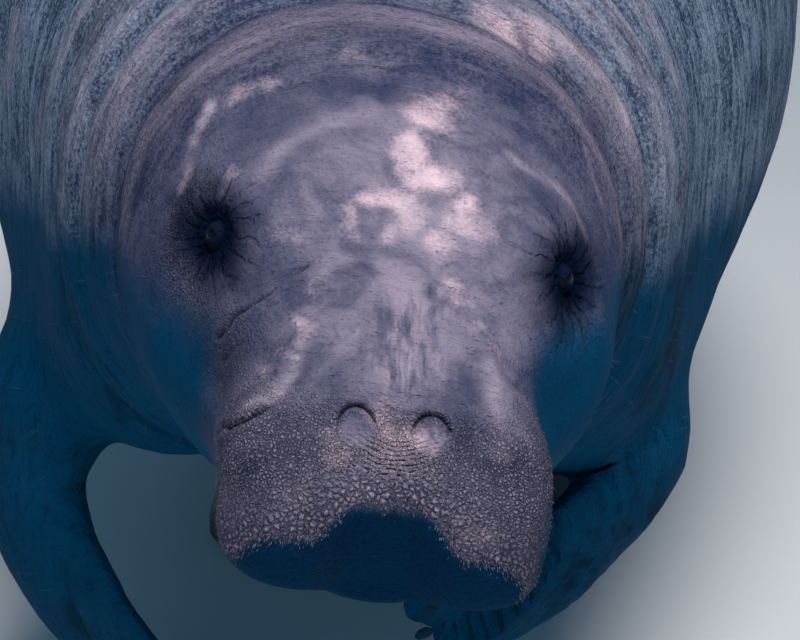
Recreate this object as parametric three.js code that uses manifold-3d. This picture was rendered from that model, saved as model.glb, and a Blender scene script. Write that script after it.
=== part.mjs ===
// A West Indian manatee at life size, swimming level with its head a little lowered and both flippers hanging,
// held over a flat base by two short rods.
// Millimetres, +Z up. The animal faces -Y and its left side is +X. Z is 0 at the underside of the base.
import * as THREE from "three";
import { mergeVertices } from "three/addons/utils/BufferGeometryUtils.js";
import Module from "manifold-3d";

const wasm = await Module();
wasm.setup();

// Driving sizes
const BODY_LENGTH = 2950; // snout tip to tail edge, along the back
const AXIS_HEIGHT = 545; // the body's long axis above the floor
const GAP = 0.3; // clearance between pieces that meet
const TWIST_END = 520; // distance behind the snout where the head's tilt has died out
const HEAD_ROLL = THREE.MathUtils.degToRad(-4.5); // the head tips towards the animal's left
const HEAD_TURN = 0.13; // sideways shift of the face for each millimetre ahead of the neck
const TURN_START = 380;
const SHOULDER_SWAY = { back: 720, reach: 280, shift: -24 }; // the shoulders lie a little to the animal's right
const TAIL_DROOP = 60; // how far the tail's edge hangs below the straight axis

// Parting planes, as distances behind the snout tip
const FACE_CENTRE = { x: 0, back: 112, up: -48 };
const HEAD_END = 300;
const NECK_END = 450;
const CHEST_END = 1000;
const BELLY_END = 1650;
const STOCK_END = 2180;

// The trunk from face to tail: half width, top and bottom line, and how square each section is above and below
const STATIONS = [
  { back: 45, wide: 80, top: 4, bottom: -98, square: 2.7, low: 2.7 },
  { back: 100, wide: 93, top: 46, bottom: -114, square: 2.6, low: 2.4 },
  { back: 145, wide: 122, top: 80, bottom: -134, square: 2.45, low: 2.1 },
  { back: 190, wide: 148, top: 110, bottom: -152, square: 2.3, low: 1.85 },
  { back: 240, wide: 158, top: 138, bottom: -170, square: 2.25, low: 1.75 },
  { back: 320, wide: 182, top: 180, bottom: -190, square: 2.2, low: 1.85 },
  { back: 420, wide: 224, top: 218, bottom: -216, square: 2.2, low: 2.5 },
  { back: 550, wide: 258, top: 256, bottom: -262, square: 2.25, low: 4.6 },
  { back: 700, wide: 314, top: 288, bottom: -292, square: 2.3, low: 2.7 },
  { back: 900, wide: 351, top: 314, bottom: -322, square: 2.3, low: 2.25 },
  { back: 1150, wide: 364, top: 328, bottom: -342, square: 2.3, low: 2.4 },
  { back: 1400, wide: 355, top: 320, bottom: -330, square: 2.25, low: 2.3 },
  { back: 1650, wide: 308, top: 282, bottom: -286, square: 2.2, low: 2.2 },
  { back: 1850, wide: 242, top: 224, bottom: -222, square: 2.1, low: 2.1 },
  { back: 2020, wide: 184, top: 164, bottom: -158, square: 2.05, low: 2.05 },
  { back: 2160, wide: 158, top: 114, bottom: -108, square: 2, low: 2 },
  { back: 2280, wide: 190, top: 80, bottom: -72, square: 2, low: 2 },
  { back: 2420, wide: 254, top: 54, bottom: -47, square: 1.9, low: 1.9 },
  { back: 2560, wide: 302, top: 38, bottom: -32, square: 1.85, low: 1.85 },
  { back: 2700, wide: 318, top: 29, bottom: -25, square: 1.85, low: 1.85 },
  { back: 2950, wide: 322, top: 22, bottom: -19, square: 1.85, low: 1.85 },
];
const PADDLE_ROUND = 330; // length of the tail's rounded end
// The shallow hollow under the chest, between the flippers
const CHEST_HOLLOW = { half: 70, edge: 60, back: 515, reach: 120, up: -262, tall: 80, depth: 20 };

// The muzzle: a pad with flat sides whose front is cut by the slanting, hollow oral disc
const MUZZLE = { centre: [0, 72, -70], radii: [97, 72, 58], square: 4.4, round: 2.4, blend: 26 };
const DISC = { back: 4, up: -57, slope: THREE.MathUtils.degToRad(35), hollow: 21, inner: 12, outer: 48, rim: 8 };
const CHIN = { centre: [0, 121, -121], radii: [62, 72, 34], square: 2, round: 2, blend: 10 };

// Soft bulges (negative depth) and hollows (positive depth), the same on both sides
const BULGES = [
  { at: [96, 158, 80], size: 30, depth: -8 }, // brow over the eye
  { at: [122, 172, 40], size: 26, depth: 8 }, // hollow that the eye lies in
  { at: [114, 122, -26], size: 36, depth: 6 }, // behind the muzzle pad
  { at: [60, 34, -100], size: 32, depth: -6 }, // lobe of the upper lip
  { at: [0, 10, -48], size: 24, depth: 4 }, // groove between the lobes
  { at: [23, 26, -10], size: 18, depth: -3 }, // mound round the nostril
  { at: [0, 66, 16], size: 26, depth: 3 }, // dip behind the nostrils
  { at: [40, 190, 108], size: 44, depth: -4 }, // forehead
  { at: [148, 235, -30], size: 50, depth: -5 }, // jaw muscle
];
// Creases that run round the neck
const NECK_FOLDS = [
  { back: 318, lean: 0.08, width: 17, depth: 8 },
  { back: 384, lean: -0.03, width: 12, depth: 8 },
  { back: 444, lean: 0.05, width: 13, depth: 4 },
];
// The crease between lip pad and cheek
const LIP_FOLD = { from: [101, 90, -62], to: [62, 76, -10], width: 8, depth: 5 };

const SPAN = STATIONS.length - 1;
const clamp = THREE.MathUtils.clamp;
const ease = (t) => t * t * (3 - 2 * t);

// Slopes of a curve through the stations that never overshoots them
function slopesOf(field) {
  const gaps = [];
  const rises = [];
  for (let i = 0; i < SPAN; i++) {
    gaps.push(STATIONS[i + 1].back - STATIONS[i].back);
    rises.push((STATIONS[i + 1][field] - STATIONS[i][field]) / gaps[i]);
  }
  const slopes = [rises[0]];
  for (let i = 1; i < SPAN; i++) {
    const [before, after] = [rises[i - 1], rises[i]];
    const w1 = 2 * gaps[i] + gaps[i - 1];
    const w2 = gaps[i] + 2 * gaps[i - 1];
    slopes.push(before * after <= 0 ? 0 : (w1 + w2) / (w1 / before + w2 / after));
  }
  slopes.push(rises[SPAN - 1]);
  return slopes;
}
const FIELDS = ["wide", "top", "bottom", "square", "low"];
const SLOPES = Object.fromEntries(FIELDS.map((f) => [f, slopesOf(f)]));

function alongTrunk(field, back) {
  const s = clamp(back, STATIONS[0].back, BODY_LENGTH);
  let i = 0;
  while (i < SPAN - 1 && s > STATIONS[i + 1].back) i++;
  const length = STATIONS[i + 1].back - STATIONS[i].back;
  const t = (s - STATIONS[i].back) / length;
  const start = (1 + 2 * t) * (1 - t) * (1 - t) * STATIONS[i][field];
  const end = t * t * (3 - 2 * t) * STATIONS[i + 1][field];
  const lead = t * (1 - t) * (1 - t) * SLOPES[field][i];
  const trail = t * t * (t - 1) * SLOPES[field][i + 1];
  return start + end + length * (lead + trail);
}

// One cross-section of the trunk: its middle height, half sizes and squareness
function sectionAt(back) {
  const past = clamp((back - (BODY_LENGTH - PADDLE_ROUND)) / PADDLE_ROUND, 0, 1);
  const taper = Math.sqrt(Math.max(1 - past * past, 1e-4));
  const top = alongTrunk("top", back);
  const bottom = alongTrunk("bottom", back);
  return {
    up: (top + bottom) / 2,
    wide: alongTrunk("wide", back) * taper,
    tall: ((top - bottom) / 2) * Math.pow(taper, 0.6),
    square: alongTrunk("square", back),
    low: alongTrunk("low", back),
  };
}

const smoothMin = (a, b, k) => {
  const h = Math.max(k - Math.abs(a - b), 0) / k;
  return Math.min(a, b) - (h * h * k) / 4;
};
const smoothMax = (a, b, k) => -smoothMin(-a, -b, k);

// Signed distances, roughly in millimetres, below 0 inside the flesh
function trunkField(x, back, up) {
  const s = sectionAt(back);
  const square = up > s.up ? s.square : s.low;
  const across = Math.pow(Math.abs(x) / s.wide, Math.max(square, 2));
  const along = Math.pow(Math.abs(up - s.up) / s.tall, square);
  const radius = Math.pow(across + along, 1 / square) - 1;
  const beside = Math.max(Math.abs(x) - CHEST_HOLLOW.half, 0) / CHEST_HOLLOW.edge;
  const lengthwise = (back - CHEST_HOLLOW.back) / CHEST_HOLLOW.reach;
  const below = (up - CHEST_HOLLOW.up) / CHEST_HOLLOW.tall;
  const hollow = CHEST_HOLLOW.depth * Math.exp(-(beside * beside + lengthwise * lengthwise + below * below));
  return smoothMax(radius * Math.min(s.wide, s.tall), STATIONS[0].back - back, 12) + hollow;
}

// A pad whose side view is rounder than its plan and front view
function blobField(x, back, up, { centre, radii, square, round }) {
  const profile =
    Math.pow(Math.abs(back - centre[1]) / radii[1], round) + Math.pow(Math.abs(up - centre[2]) / radii[2], round);
  const sum = Math.pow(profile, square / round) + Math.pow(Math.abs(x - centre[0]) / radii[0], square);
  return (Math.pow(sum, 1 / square) - 1) * Math.min(...radii);
}

function discField(x, back, up) {
  const lobe = DISC.hollow * ease(clamp((Math.abs(x) - DISC.inner) / (DISC.outer - DISC.inner), 0, 1));
  const ahead = (DISC.back - back) * Math.cos(DISC.slope) + (DISC.up - up) * Math.sin(DISC.slope);
  return ahead - lobe;
}

function segmentDistance(p, a, b) {
  const ab = b.map((v, i) => v - a[i]);
  const ap = p.map((v, i) => v - a[i]);
  const dot = (u, v) => u[0] * v[0] + u[1] * v[1] + u[2] * v[2];
  const t = clamp(dot(ap, ab) / dot(ab, ab), 0, 1);
  return Math.hypot(...ap.map((v, i) => v - t * ab[i]));
}

// The whole animal without its flippers
function bodyField(x, back, up) {
  let field = trunkField(x, back, up);
  if (back < NECK_END) {
    const muzzle = smoothMax(blobField(x, back, up, MUZZLE), discField(x, back, up), DISC.rim);
    field = smoothMin(field, muzzle, MUZZLE.blend);
    field = smoothMin(field, blobField(x, back, up, CHIN), CHIN.blend);
    for (const b of BULGES) {
      const d = Math.hypot(Math.abs(x) - b.at[0], back - b.at[1], up - b.at[2]) / b.size;
      field += b.depth * Math.exp(-d * d);
    }
    const crease = segmentDistance([Math.abs(x), back, up], LIP_FOLD.from, LIP_FOLD.to) / LIP_FOLD.width;
    field += LIP_FOLD.depth * Math.exp(-crease * crease);
  }
  if (back > HEAD_END - 60 && back < NECK_END + 60) {
    for (const f of NECK_FOLDS) {
      const d = (back - f.back - f.lean * up) / f.width;
      field += f.depth * Math.exp(-d * d);
    }
  }
  return field;
}

// The distance from start along dir at which the field reaches outset
function hit(start, dir, outset = 0, reach = 700) {
  let near = 0;
  let far = reach;
  for (let i = 0; i < 34; i++) {
    const mid = (near + far) / 2;
    const inside = bodyField(start[0] + dir[0] * mid, start[1] + dir[1] * mid, start[2] + dir[2] * mid) < outset;
    if (inside) near = mid;
    else far = mid;
  }
  const r = (near + far) / 2;
  return [start[0] + dir[0] * r, start[1] + dir[1] * r, start[2] + dir[2] * r];
}
const unit = (v) => v.map((c) => c / Math.hypot(...v));

function outwardAt(p) {
  const h = 2;
  return unit(
    [0, 1, 2].map((i) => {
      const [a, b] = [[...p], [...p]];
      a[i] += h;
      b[i] -= h;
      return bodyField(...a) - bodyField(...b);
    }),
  );
}

// Bends the straight animal into its pose and sets it in the part's frame
function posed([x, back, up]) {
  const turn = HEAD_ROLL * ease(clamp((TWIST_END - back) / (TWIST_END - 150), 0, 1));
  const ahead = Math.max(TURN_START - back, 0);
  const sway = (back - SHOULDER_SWAY.back) / SHOULDER_SWAY.reach;
  const shift = (HEAD_TURN * ahead * ahead) / (ahead + 60) + SHOULDER_SWAY.shift * Math.exp(-sway * sway);
  const droop = TAIL_DROOP * ease(clamp((back - 1700) / (BODY_LENGTH - 1700), 0, 1));
  return [
    x * Math.cos(turn) - up * Math.sin(turn) + shift,
    back - BODY_LENGTH / 2,
    x * Math.sin(turn) + up * Math.cos(turn) - droop + AXIS_HEIGHT,
  ];
}

// Closed solids from rings of points. Each end closes on one point.
function solidFromRings(rings, first, last, place = posed) {
  const count = rings[0].length;
  const position = [first, ...rings.flat(), last].flatMap(place);
  const index = [];
  const at = (ring, i) => 1 + ring * count + (i % count);
  const end = 1 + rings.length * count;
  for (let i = 0; i < count; i++) {
    index.push(0, at(0, i + 1), at(0, i));
    index.push(end, at(rings.length - 1, i), at(rings.length - 1, i + 1));
    for (let r = 0; r + 1 < rings.length; r++) {
      index.push(at(r, i), at(r, i + 1), at(r + 1, i));
      index.push(at(r + 1, i), at(r, i + 1), at(r + 1, i + 1));
    }
  }
  const geometry = new THREE.BufferGeometry();
  geometry.setAttribute("position", new THREE.Float32BufferAttribute(position, 3));
  geometry.setIndex(index);
  return toManifold(geometry);
}

function toManifold(geometry) {
  const plain = new THREE.BufferGeometry();
  plain.setAttribute("position", geometry.getAttribute("position").clone());
  if (geometry.index) plain.setIndex(geometry.index);
  const merged = mergeVertices(plain, 1e-3);
  const made = (turned) => {
    const triVerts = new Uint32Array(merged.index.array);
    if (turned)
      for (let i = 0; i < triVerts.length; i += 3)
        [triVerts[i + 1], triVerts[i + 2]] = [triVerts[i + 2], triVerts[i + 1]];
    const vertProperties = new Float32Array(merged.attributes.position.array);
    return new wasm.Manifold(new wasm.Mesh({ numProp: 3, vertProperties, triVerts }));
  };
  const solid = made(false);
  return solid.volume() < 0 ? made(true) : solid;
}

function toGeometry(solid) {
  const { numProp, vertProperties, triVerts } = solid.getMesh();
  const position = new Float32Array((vertProperties.length / numProp) * 3);
  for (let i = 0; i * numProp < vertProperties.length; i++)
    position.set(vertProperties.subarray(i * numProp, i * numProp + 3), i * 3);
  const geometry = new THREE.BufferGeometry();
  geometry.setAttribute("position", new THREE.BufferAttribute(position, 3));
  geometry.setIndex(new THREE.BufferAttribute(triVerts, 1));
  geometry.computeVertexNormals();
  return geometry;
}

const largest = (solid) => solid.decompose().sort((a, b) => b.volume() - a.volume())[0];

const group = new THREE.Group();
function addNode(name, solid, look) {
  const mesh = new THREE.Mesh(toGeometry(largest(solid)), new THREE.MeshStandardMaterial(look));
  mesh.name = name;
  group.add(mesh);
}

const SKIN = { color: 0x7d7680, roughness: 0.6, metalness: 0 };
const DARK_SKIN = { color: 0x4c535e, roughness: 0.6, metalness: 0 };
const EYE = { color: 0x0b0b10, roughness: 0.1, metalness: 0 };
const NAIL = { color: 0xb9a894, roughness: 0.4, metalness: 0 };
const STAND = { color: 0x2b2d30, roughness: 0.45, metalness: 0 };

// Trunk pieces between two parting planes
function ringAt(back, count, outset = 0) {
  const s = sectionAt(back);
  return Array.from({ length: count }, (_, i) => {
    const angle = (2 * Math.PI * i) / count;
    const dir = unit([s.wide * Math.cos(angle), 0, s.tall * Math.sin(angle)]);
    return hit([0, back, s.up], dir, outset);
  });
}

function trunkPiece(from, to, rows, count, outset = 0, spacing = (t) => t) {
  const start = from + GAP / 2 - outset;
  const end = to - GAP / 2 + outset;
  const rings = Array.from({ length: rows + 1 }, (_, r) => {
    const back = start + (end - start) * spacing(r / rows);
    return ringAt(back, count, outset);
  });
  return solidFromRings(rings, [0, start, sectionAt(start).up], [0, end, sectionAt(end).up]);
}

// The face is cast from one centre: rings fan forward from the parting plane to a pole on the oral disc
const FACE_ROWS = 15;
const FACE_COUNT = 52;
const HEAD_ROWS = 12;
const POLE_TILT = THREE.MathUtils.degToRad(22);

function faceRing(lean, outset = 0) {
  const c = FACE_CENTRE;
  return Array.from({ length: FACE_COUNT }, (_, i) => {
    const angle = (2 * Math.PI * i) / FACE_COUNT;
    const dir = unit([
      Math.sin(lean) * Math.cos(angle),
      -Math.cos(lean) * Math.cos(POLE_TILT),
      Math.sin(lean) * 0.9 * Math.sin(angle) - Math.cos(lean) * Math.sin(POLE_TILT),
    ]);
    return hit([c.x, c.back, c.up], dir, outset);
  });
}

function frontSolid() {
  const pole = hit(
    [FACE_CENTRE.x, FACE_CENTRE.back, FACE_CENTRE.up],
    [0, -Math.cos(POLE_TILT), -Math.sin(POLE_TILT)],
  );
  const rings = [];
  for (let r = 1; r <= FACE_ROWS; r++) rings.push(faceRing(((r / FACE_ROWS) * Math.PI) / 2));
  for (let r = 1; r <= HEAD_ROWS; r++) {
    const t = r / HEAD_ROWS;
    const back = FACE_CENTRE.back + (HEAD_END - GAP / 2 - FACE_CENTRE.back) * t;
    const s = sectionAt(back);
    const slide = ease(t);
    const centre = [0, back, FACE_CENTRE.up + (s.up - FACE_CENTRE.up) * slide];
    const ratio = 0.9 + (s.tall / s.wide - 0.9) * slide;
    rings.push(
      Array.from({ length: FACE_COUNT }, (_, i) => {
        const angle = (2 * Math.PI * i) / FACE_COUNT;
        return hit(centre, unit([Math.cos(angle), 0, ratio * Math.sin(angle)]));
      }),
    );
  }
  const end = HEAD_END - GAP / 2;
  return solidFromRings(rings, pole, [0, end, sectionAt(end).up]);
}

// A prism across the animal, from an outline in side view given as [back, up] points
function sidePrism(outline, halfWidth = 400) {
  const shape = new THREE.Shape(outline.map(([back, up]) => new THREE.Vector2(back, up)));
  const geometry = new THREE.ExtrudeGeometry(shape, { depth: 2 * halfWidth, bevelEnabled: false });
  geometry.translate(0, 0, -halfWidth);
  const p = geometry.getAttribute("position");
  for (let i = 0; i < p.count; i++) p.setXYZ(i, ...posed([p.getZ(i), p.getX(i), p.getY(i)]));
  return toManifold(geometry);
}

// A round bar along a curve through points of the straight animal
function bar(points, radius, sides = 8, steps = 24) {
  const path = new THREE.CatmullRomCurve3(points.map((p) => new THREE.Vector3(...posed(p))));
  const shape = new THREE.Shape();
  for (let i = 0; i < sides; i++) {
    const a = (2 * Math.PI * i) / sides;
    shape[i ? "lineTo" : "moveTo"](radius * Math.cos(a), radius * Math.sin(a));
  }
  return toManifold(new THREE.ExtrudeGeometry(shape, { steps, extrudePath: path, bevelEnabled: false }));
}

// Feature frames on the skin: a point, the outward normal, and two directions along the surface
function skinFrame(start, dir) {
  const at = hit(start, unit(dir));
  const out = outwardAt(at);
  const side = unit([out[1], -out[0], 0]).map((c) => -c * Math.sign(out[1] || 1));
  const rise = [
    out[1] * side[2] - out[2] * side[1],
    out[2] * side[0] - out[0] * side[2],
    out[0] * side[1] - out[1] * side[0],
  ];
  const flip = rise[2] < 0 ? -1 : 1;
  return { at, out, side, rise: rise.map((c) => c * flip) };
}
const offset = (frame, a, b, c) =>
  frame.at.map((v, i) => v + a * frame.side[i] + b * frame.rise[i] + c * frame.out[i]);

// An ellipsoid whose axes lie along a feature frame
function pad(frame, radii, lift, columns = 18, rows = 10) {
  const rings = [];
  for (let r = 1; r < rows; r++) {
    const polar = (Math.PI * r) / rows;
    rings.push(
      Array.from({ length: columns }, (_, i) => {
        const a = (2 * Math.PI * i) / columns;
        return offset(
          frame,
          radii[0] * Math.sin(polar) * Math.cos(a),
          radii[1] * Math.sin(polar) * Math.sin(a),
          lift + radii[2] * Math.cos(polar),
        );
      }),
    );
  }
  return solidFromRings(rings, offset(frame, 0, 0, lift + radii[2]), offset(frame, 0, 0, lift - radii[2]));
}

const NOSTRIL = { x: 22, radius: 12.5, slit: 2.4, span: 210, flap: 4 };
const EYEBALL = 10;
const EYE_SINK = 6.5;
const LID = { across: 16, tall: 13, thick: 3.4 };
const MOUTH = { corner: [0, 140, -104], front: [0, 50, -131], sweep: 104, groove: 3.4 };
const THROAT = { back: 236, up: -230 };

function nostrilFrame(side) {
  return skinFrame([side * NOSTRIL.x, 92, -60], [0, -0.82, 0.57]);
}

function eyeFrame(side) {
  return skinFrame([0, 196, 26], [side, -0.235, 0.2]);
}

// Points from one mouth corner round the front to the other
function mouthLine() {
  const ahead = unit(MOUTH.front.map((v, i) => v - MOUTH.corner[i]));
  const points = [];
  for (let a = -MOUTH.sweep; a <= MOUTH.sweep; a += 8) {
    const r = THREE.MathUtils.degToRad(a);
    const dir = unit([Math.sin(r), ahead[1] * Math.cos(r), ahead[2] * Math.cos(r)]);
    points.push(hit(MOUTH.corner, dir));
  }
  return points;
}

function frontPieces() {
  let front = frontSolid();
  for (const side of [-1, 1]) {
    const nose = nostrilFrame(side);
    const arc = [];
    for (let a = 90 - NOSTRIL.span / 2; a <= 90 + NOSTRIL.span / 2; a += NOSTRIL.span / 10) {
      const r = THREE.MathUtils.degToRad(a);
      arc.push(offset(nose, NOSTRIL.radius * Math.cos(r), NOSTRIL.radius * Math.sin(r), 0.4));
    }
    front = front.subtract(bar(arc, NOSTRIL.slit, 6, 10));
    front = front.add(pad(nose, [NOSTRIL.radius - 2.8, NOSTRIL.radius - 2.8, NOSTRIL.flap], -2.4, 14, 6));
    const eye = eyeFrame(side);
    front = front.add(pad(eye, [LID.across, LID.tall, LID.thick], -0.6, 16, 6));
    const slit = pad(eye, [EYEBALL - 2.5, EYEBALL - 4.5, 30], 6, 12, 6);
    const socket = pad(eye, [EYEBALL + GAP, EYEBALL + GAP, EYEBALL + GAP], -EYE_SINK, 14, 8);
    front = front.subtract(slit).subtract(socket);
  }
  front = front.subtract(bar(mouthLine(), MOUTH.groove, 5, 26));
  const lipLine = [
    [-60, MOUTH.front[2] + (MOUTH.front[2] - MOUTH.corner[2]) * 1.22],
    [MOUTH.corner[1], MOUTH.corner[2]],
    [MOUTH.corner[1] + 26, MOUTH.corner[2] - 22],
    [THROAT.back, THROAT.up],
    [-60, THROAT.up - 60],
  ];
  const lowered = lipLine.map(([back, up], i) => (i === 4 ? [back, up] : [back - GAP * 0.6, up - GAP]));
  const planeUp = -800;
  const ahead = [
    [-200, planeUp],
    [FACE_CENTRE.back - GAP / 2, planeUp],
    [FACE_CENTRE.back - GAP / 2, -planeUp],
    [-200, -planeUp],
  ];
  const upper = front.subtract(sidePrism(lipLine));
  return {
    jaw: front.intersect(sidePrism(lowered)),
    snout: upper.intersect(sidePrism(ahead)),
    head: upper.subtract(sidePrism(ahead.map(([b, u]) => [b > 0 ? b + GAP : b, u]))),
  };
}

const { jaw, snout, head } = frontPieces();
addNode("snout", snout, SKIN);
addNode("lower_jaw", jaw, DARK_SKIN);
addNode("head", head, SKIN);
for (const [side, name] of [[-1, "eye_right"], [1, "eye_left"]]) {
  addNode(name, pad(eyeFrame(side), [EYEBALL, EYEBALL, EYEBALL], -EYE_SINK, 14, 8), EYE);
}
addNode("neck", trunkPiece(HEAD_END, NECK_END, 11, 44), SKIN);
addNode("chest", trunkPiece(NECK_END, CHEST_END, 11, 40), SKIN);
addNode("belly", trunkPiece(CHEST_END, BELLY_END, 8, 40), SKIN);
addNode("tail_stock", trunkPiece(BELLY_END, STOCK_END, 10, 36), SKIN);
const towardsEdge = (t) => Math.sin((t * Math.PI) / 2) * 0.45 + t * 0.55;
addNode("tail_paddle", trunkPiece(STOCK_END, BODY_LENGTH, 14, 36, 0, towardsEdge), SKIN);

// Flippers: a shoulder root inside the chest, an upper arm, and a flat blade with a round tip
const FLIPPERS = {
  right: {
    line: [
      [-196, 626, -150],
      [-242, 616, -216],
      [-267, 600, -298],
      [-250, 578, -354],
      [-213, 553, -402],
      [-160, 524, -446],
      [-96, 492, -488],
    ],
    root: [0.25, -1, 0],
    blade: [0.7, -0.72, 0],
  },
  left: {
    line: [
      [172, 632, -146],
      [207, 616, -202],
      [225, 588, -249],
      [202, 543, -278],
      [170, 498, -296],
      [118, 453, -314],
      [46, 406, -330],
    ],
    root: [0.1, -1, 0],
    blade: [0.05, -0.42, 0.9],
  },
};
const FLIPPER_ROWS = 20;
const FLIPPER_COUNT = 20;
const CHORDS = [[0, 100], [0.2, 84], [0.38, 69], [0.55, 70], [0.75, 70], [0.9, 60], [1, 50]]; // half widths
const DEPTHS = [[0, 78], [0.2, 56], [0.38, 38], [0.55, 26], [0.75, 18], [0.9, 12], [1, 8]]; // half thicknesses
const TIP_ROUND = 0.17; // share of the length that the round tip takes

function between(table, t) {
  let i = 0;
  while (i < table.length - 2 && t > table[i + 1][0]) i++;
  const u = ease(clamp((t - table[i][0]) / (table[i + 1][0] - table[i][0]), 0, 1));
  return table[i][1] + (table[i + 1][1] - table[i][1]) * u;
}

function flipperFrame(curve, { root, blade }, t) {
  const at = curve.getPointAt(clamp(t, 0, 1));
  const along = curve.getTangentAt(clamp(t, 0, 1));
  const chord = new THREE.Vector3(...root).lerp(new THREE.Vector3(...blade), ease(clamp(t * 1.6, 0, 1)));
  chord.addScaledVector(along, -chord.dot(along)).normalize();
  const thick = new THREE.Vector3().crossVectors(along, chord).normalize();
  return { at, along, chord, thick };
}

function flipperSolid(flipper, outset = 0) {
  const curve = new THREE.CatmullRomCurve3(flipper.line.map((p) => new THREE.Vector3(...p)));
  const rings = [];
  for (let r = 0; r < FLIPPER_ROWS; r++) {
    const u = r / FLIPPER_ROWS;
    const t = u < 0.72 ? u : 0.72 + 0.28 * Math.sin((((u - 0.72) / 0.28) * Math.PI) / 2);
    const past = clamp((t - (1 - TIP_ROUND)) / TIP_ROUND, 0, 1);
    const taper = Math.sqrt(Math.max(1 - past * past, 0));
    const { at, chord, thick } = flipperFrame(curve, flipper, t);
    const half = between(CHORDS, t) * taper + outset;
    const deep = between(DEPTHS, t) * Math.pow(taper, 0.5) + outset;
    rings.push(
      Array.from({ length: FLIPPER_COUNT }, (_, i) => {
        const a = (2 * Math.PI * i) / FLIPPER_COUNT;
        const flat = Math.sign(Math.sin(a)) * Math.pow(Math.abs(Math.sin(a)), 1.15);
        return at.clone().addScaledVector(chord, half * Math.cos(a)).addScaledVector(thick, deep * flat).toArray();
      }),
    );
  }
  return solidFromRings(rings, curve.getPointAt(0).toArray(), flipperFrame(curve, flipper, 1).at.toArray());
}

const chestGrown = trunkPiece(NECK_END, CHEST_END, 11, 40, GAP);
const NAIL_SPOTS = [0.42, 0, -0.42]; // places across the blade's tip
const NAIL_SIZE = [7, 9, 2.4];
for (const side of ["right", "left"]) {
  const flipper = FLIPPERS[side];
  addNode("flipper_" + side, flipperSolid(flipper).subtract(chestGrown), SKIN);
  const grown = flipperSolid(flipper, GAP);
  const curve = new THREE.CatmullRomCurve3(flipper.line.map((p) => new THREE.Vector3(...p)));
  const outward = side === "right" ? -1 : 1;
  NAIL_SPOTS.forEach((spot, n) => {
    const past = Math.sqrt(1 - spot * spot) * 0.86;
    const t = 1 - TIP_ROUND + TIP_ROUND * past - 0.012;
    const { at, along, chord, thick } = flipperFrame(curve, flipper, t);
    const face = Math.sign(thick.x * outward) || 1;
    const taper = Math.sqrt(1 - past * past);
    const reach = between(DEPTHS, t) * Math.pow(taper, 0.5);
    const width = between(CHORDS, t) * taper;
    const cosine = (spot * 0.86 * 66) / width;
    const height = reach * Math.pow(Math.max(1 - cosine * cosine, 0.05), 0.575);
    const centre = at.clone().addScaledVector(chord, width * cosine).addScaledVector(thick, face * height);
    const splay = along.clone().addScaledVector(chord, spot * 0.9).normalize();
    const out = thick.clone().multiplyScalar(face);
    const across = new THREE.Vector3().crossVectors(splay, out).normalize();
    const frame = { at: centre.toArray(), side: across.toArray(), rise: splay.toArray(), out: out.toArray() };
    addNode(`nail_${side}_${n + 1}`, pad(frame, NAIL_SIZE, 0.6, 10, 6).subtract(grown), NAIL);
  });
}

// The stand: a flat base with rounded corners and two upright rods that stop at the belly
const BASE = { from: 980, to: 1960, halfWidth: 190, thick: 28, corner: 60, edge: 5 };
const RODS = [
  { name: "stand_rod_front", back: 1060 },
  { name: "stand_rod_rear", back: 1800 },
];
const ROD_RADIUS = 24;

function standBase() {
  const { from, to, halfWidth: w, thick, corner, edge } = BASE;
  const [y0, y1] = [from - BODY_LENGTH / 2 + edge, to - BODY_LENGTH / 2 - edge];
  const [x, r] = [w - edge, corner];
  const shape = new THREE.Shape();
  shape.moveTo(-x + r, y0);
  shape.lineTo(x - r, y0);
  shape.absarc(x - r, y0 + r, r, -Math.PI / 2, 0);
  shape.lineTo(x, y1 - r);
  shape.absarc(x - r, y1 - r, r, 0, Math.PI / 2);
  shape.lineTo(-x + r, y1);
  shape.absarc(-x + r, y1 - r, r, Math.PI / 2, Math.PI);
  shape.lineTo(-x, y0 + r);
  shape.absarc(-x + r, y0 + r, r, Math.PI, 1.5 * Math.PI);
  const bevel = { bevelEnabled: true, bevelThickness: edge, bevelSize: edge, bevelSegments: 1, curveSegments: 6 };
  const geometry = new THREE.ExtrudeGeometry(shape, { depth: thick - 2 * edge, ...bevel });
  geometry.translate(0, 0, edge);
  return toManifold(geometry);
}

const bellyGrown = trunkPiece(CHEST_END, BELLY_END, 8, 40, GAP);
const stockGrown = trunkPiece(BELLY_END, STOCK_END, 10, 36, GAP);
addNode("stand_base", standBase(), STAND);
for (const { name, back } of RODS) {
  const rod = new THREE.CylinderGeometry(ROD_RADIUS, ROD_RADIUS, AXIS_HEIGHT, 32);
  rod.rotateX(Math.PI / 2);
  rod.translate(0, back - BODY_LENGTH / 2, BASE.thick + GAP + AXIS_HEIGHT / 2);
  addNode(name, toManifold(rod).subtract(bellyGrown).subtract(stockGrown), STAND);
}

export default group;
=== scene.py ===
# A West Indian manatee at life size, kept as a still museum model: it swims level over a flat display base,
# held by two short rods. The forms of the body are in millimetres and are turned into metres when a mesh is
# made; finishes, hairs and the studio are in metres. "Straight" coordinates are (x to its left, distance behind
# the snout tip, height above the body's long axis), before the head is tipped and turned and the tail hangs.
import itertools
import math

import bmesh
import bpy
import numpy as np
from mathutils import Matrix, Vector


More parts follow.
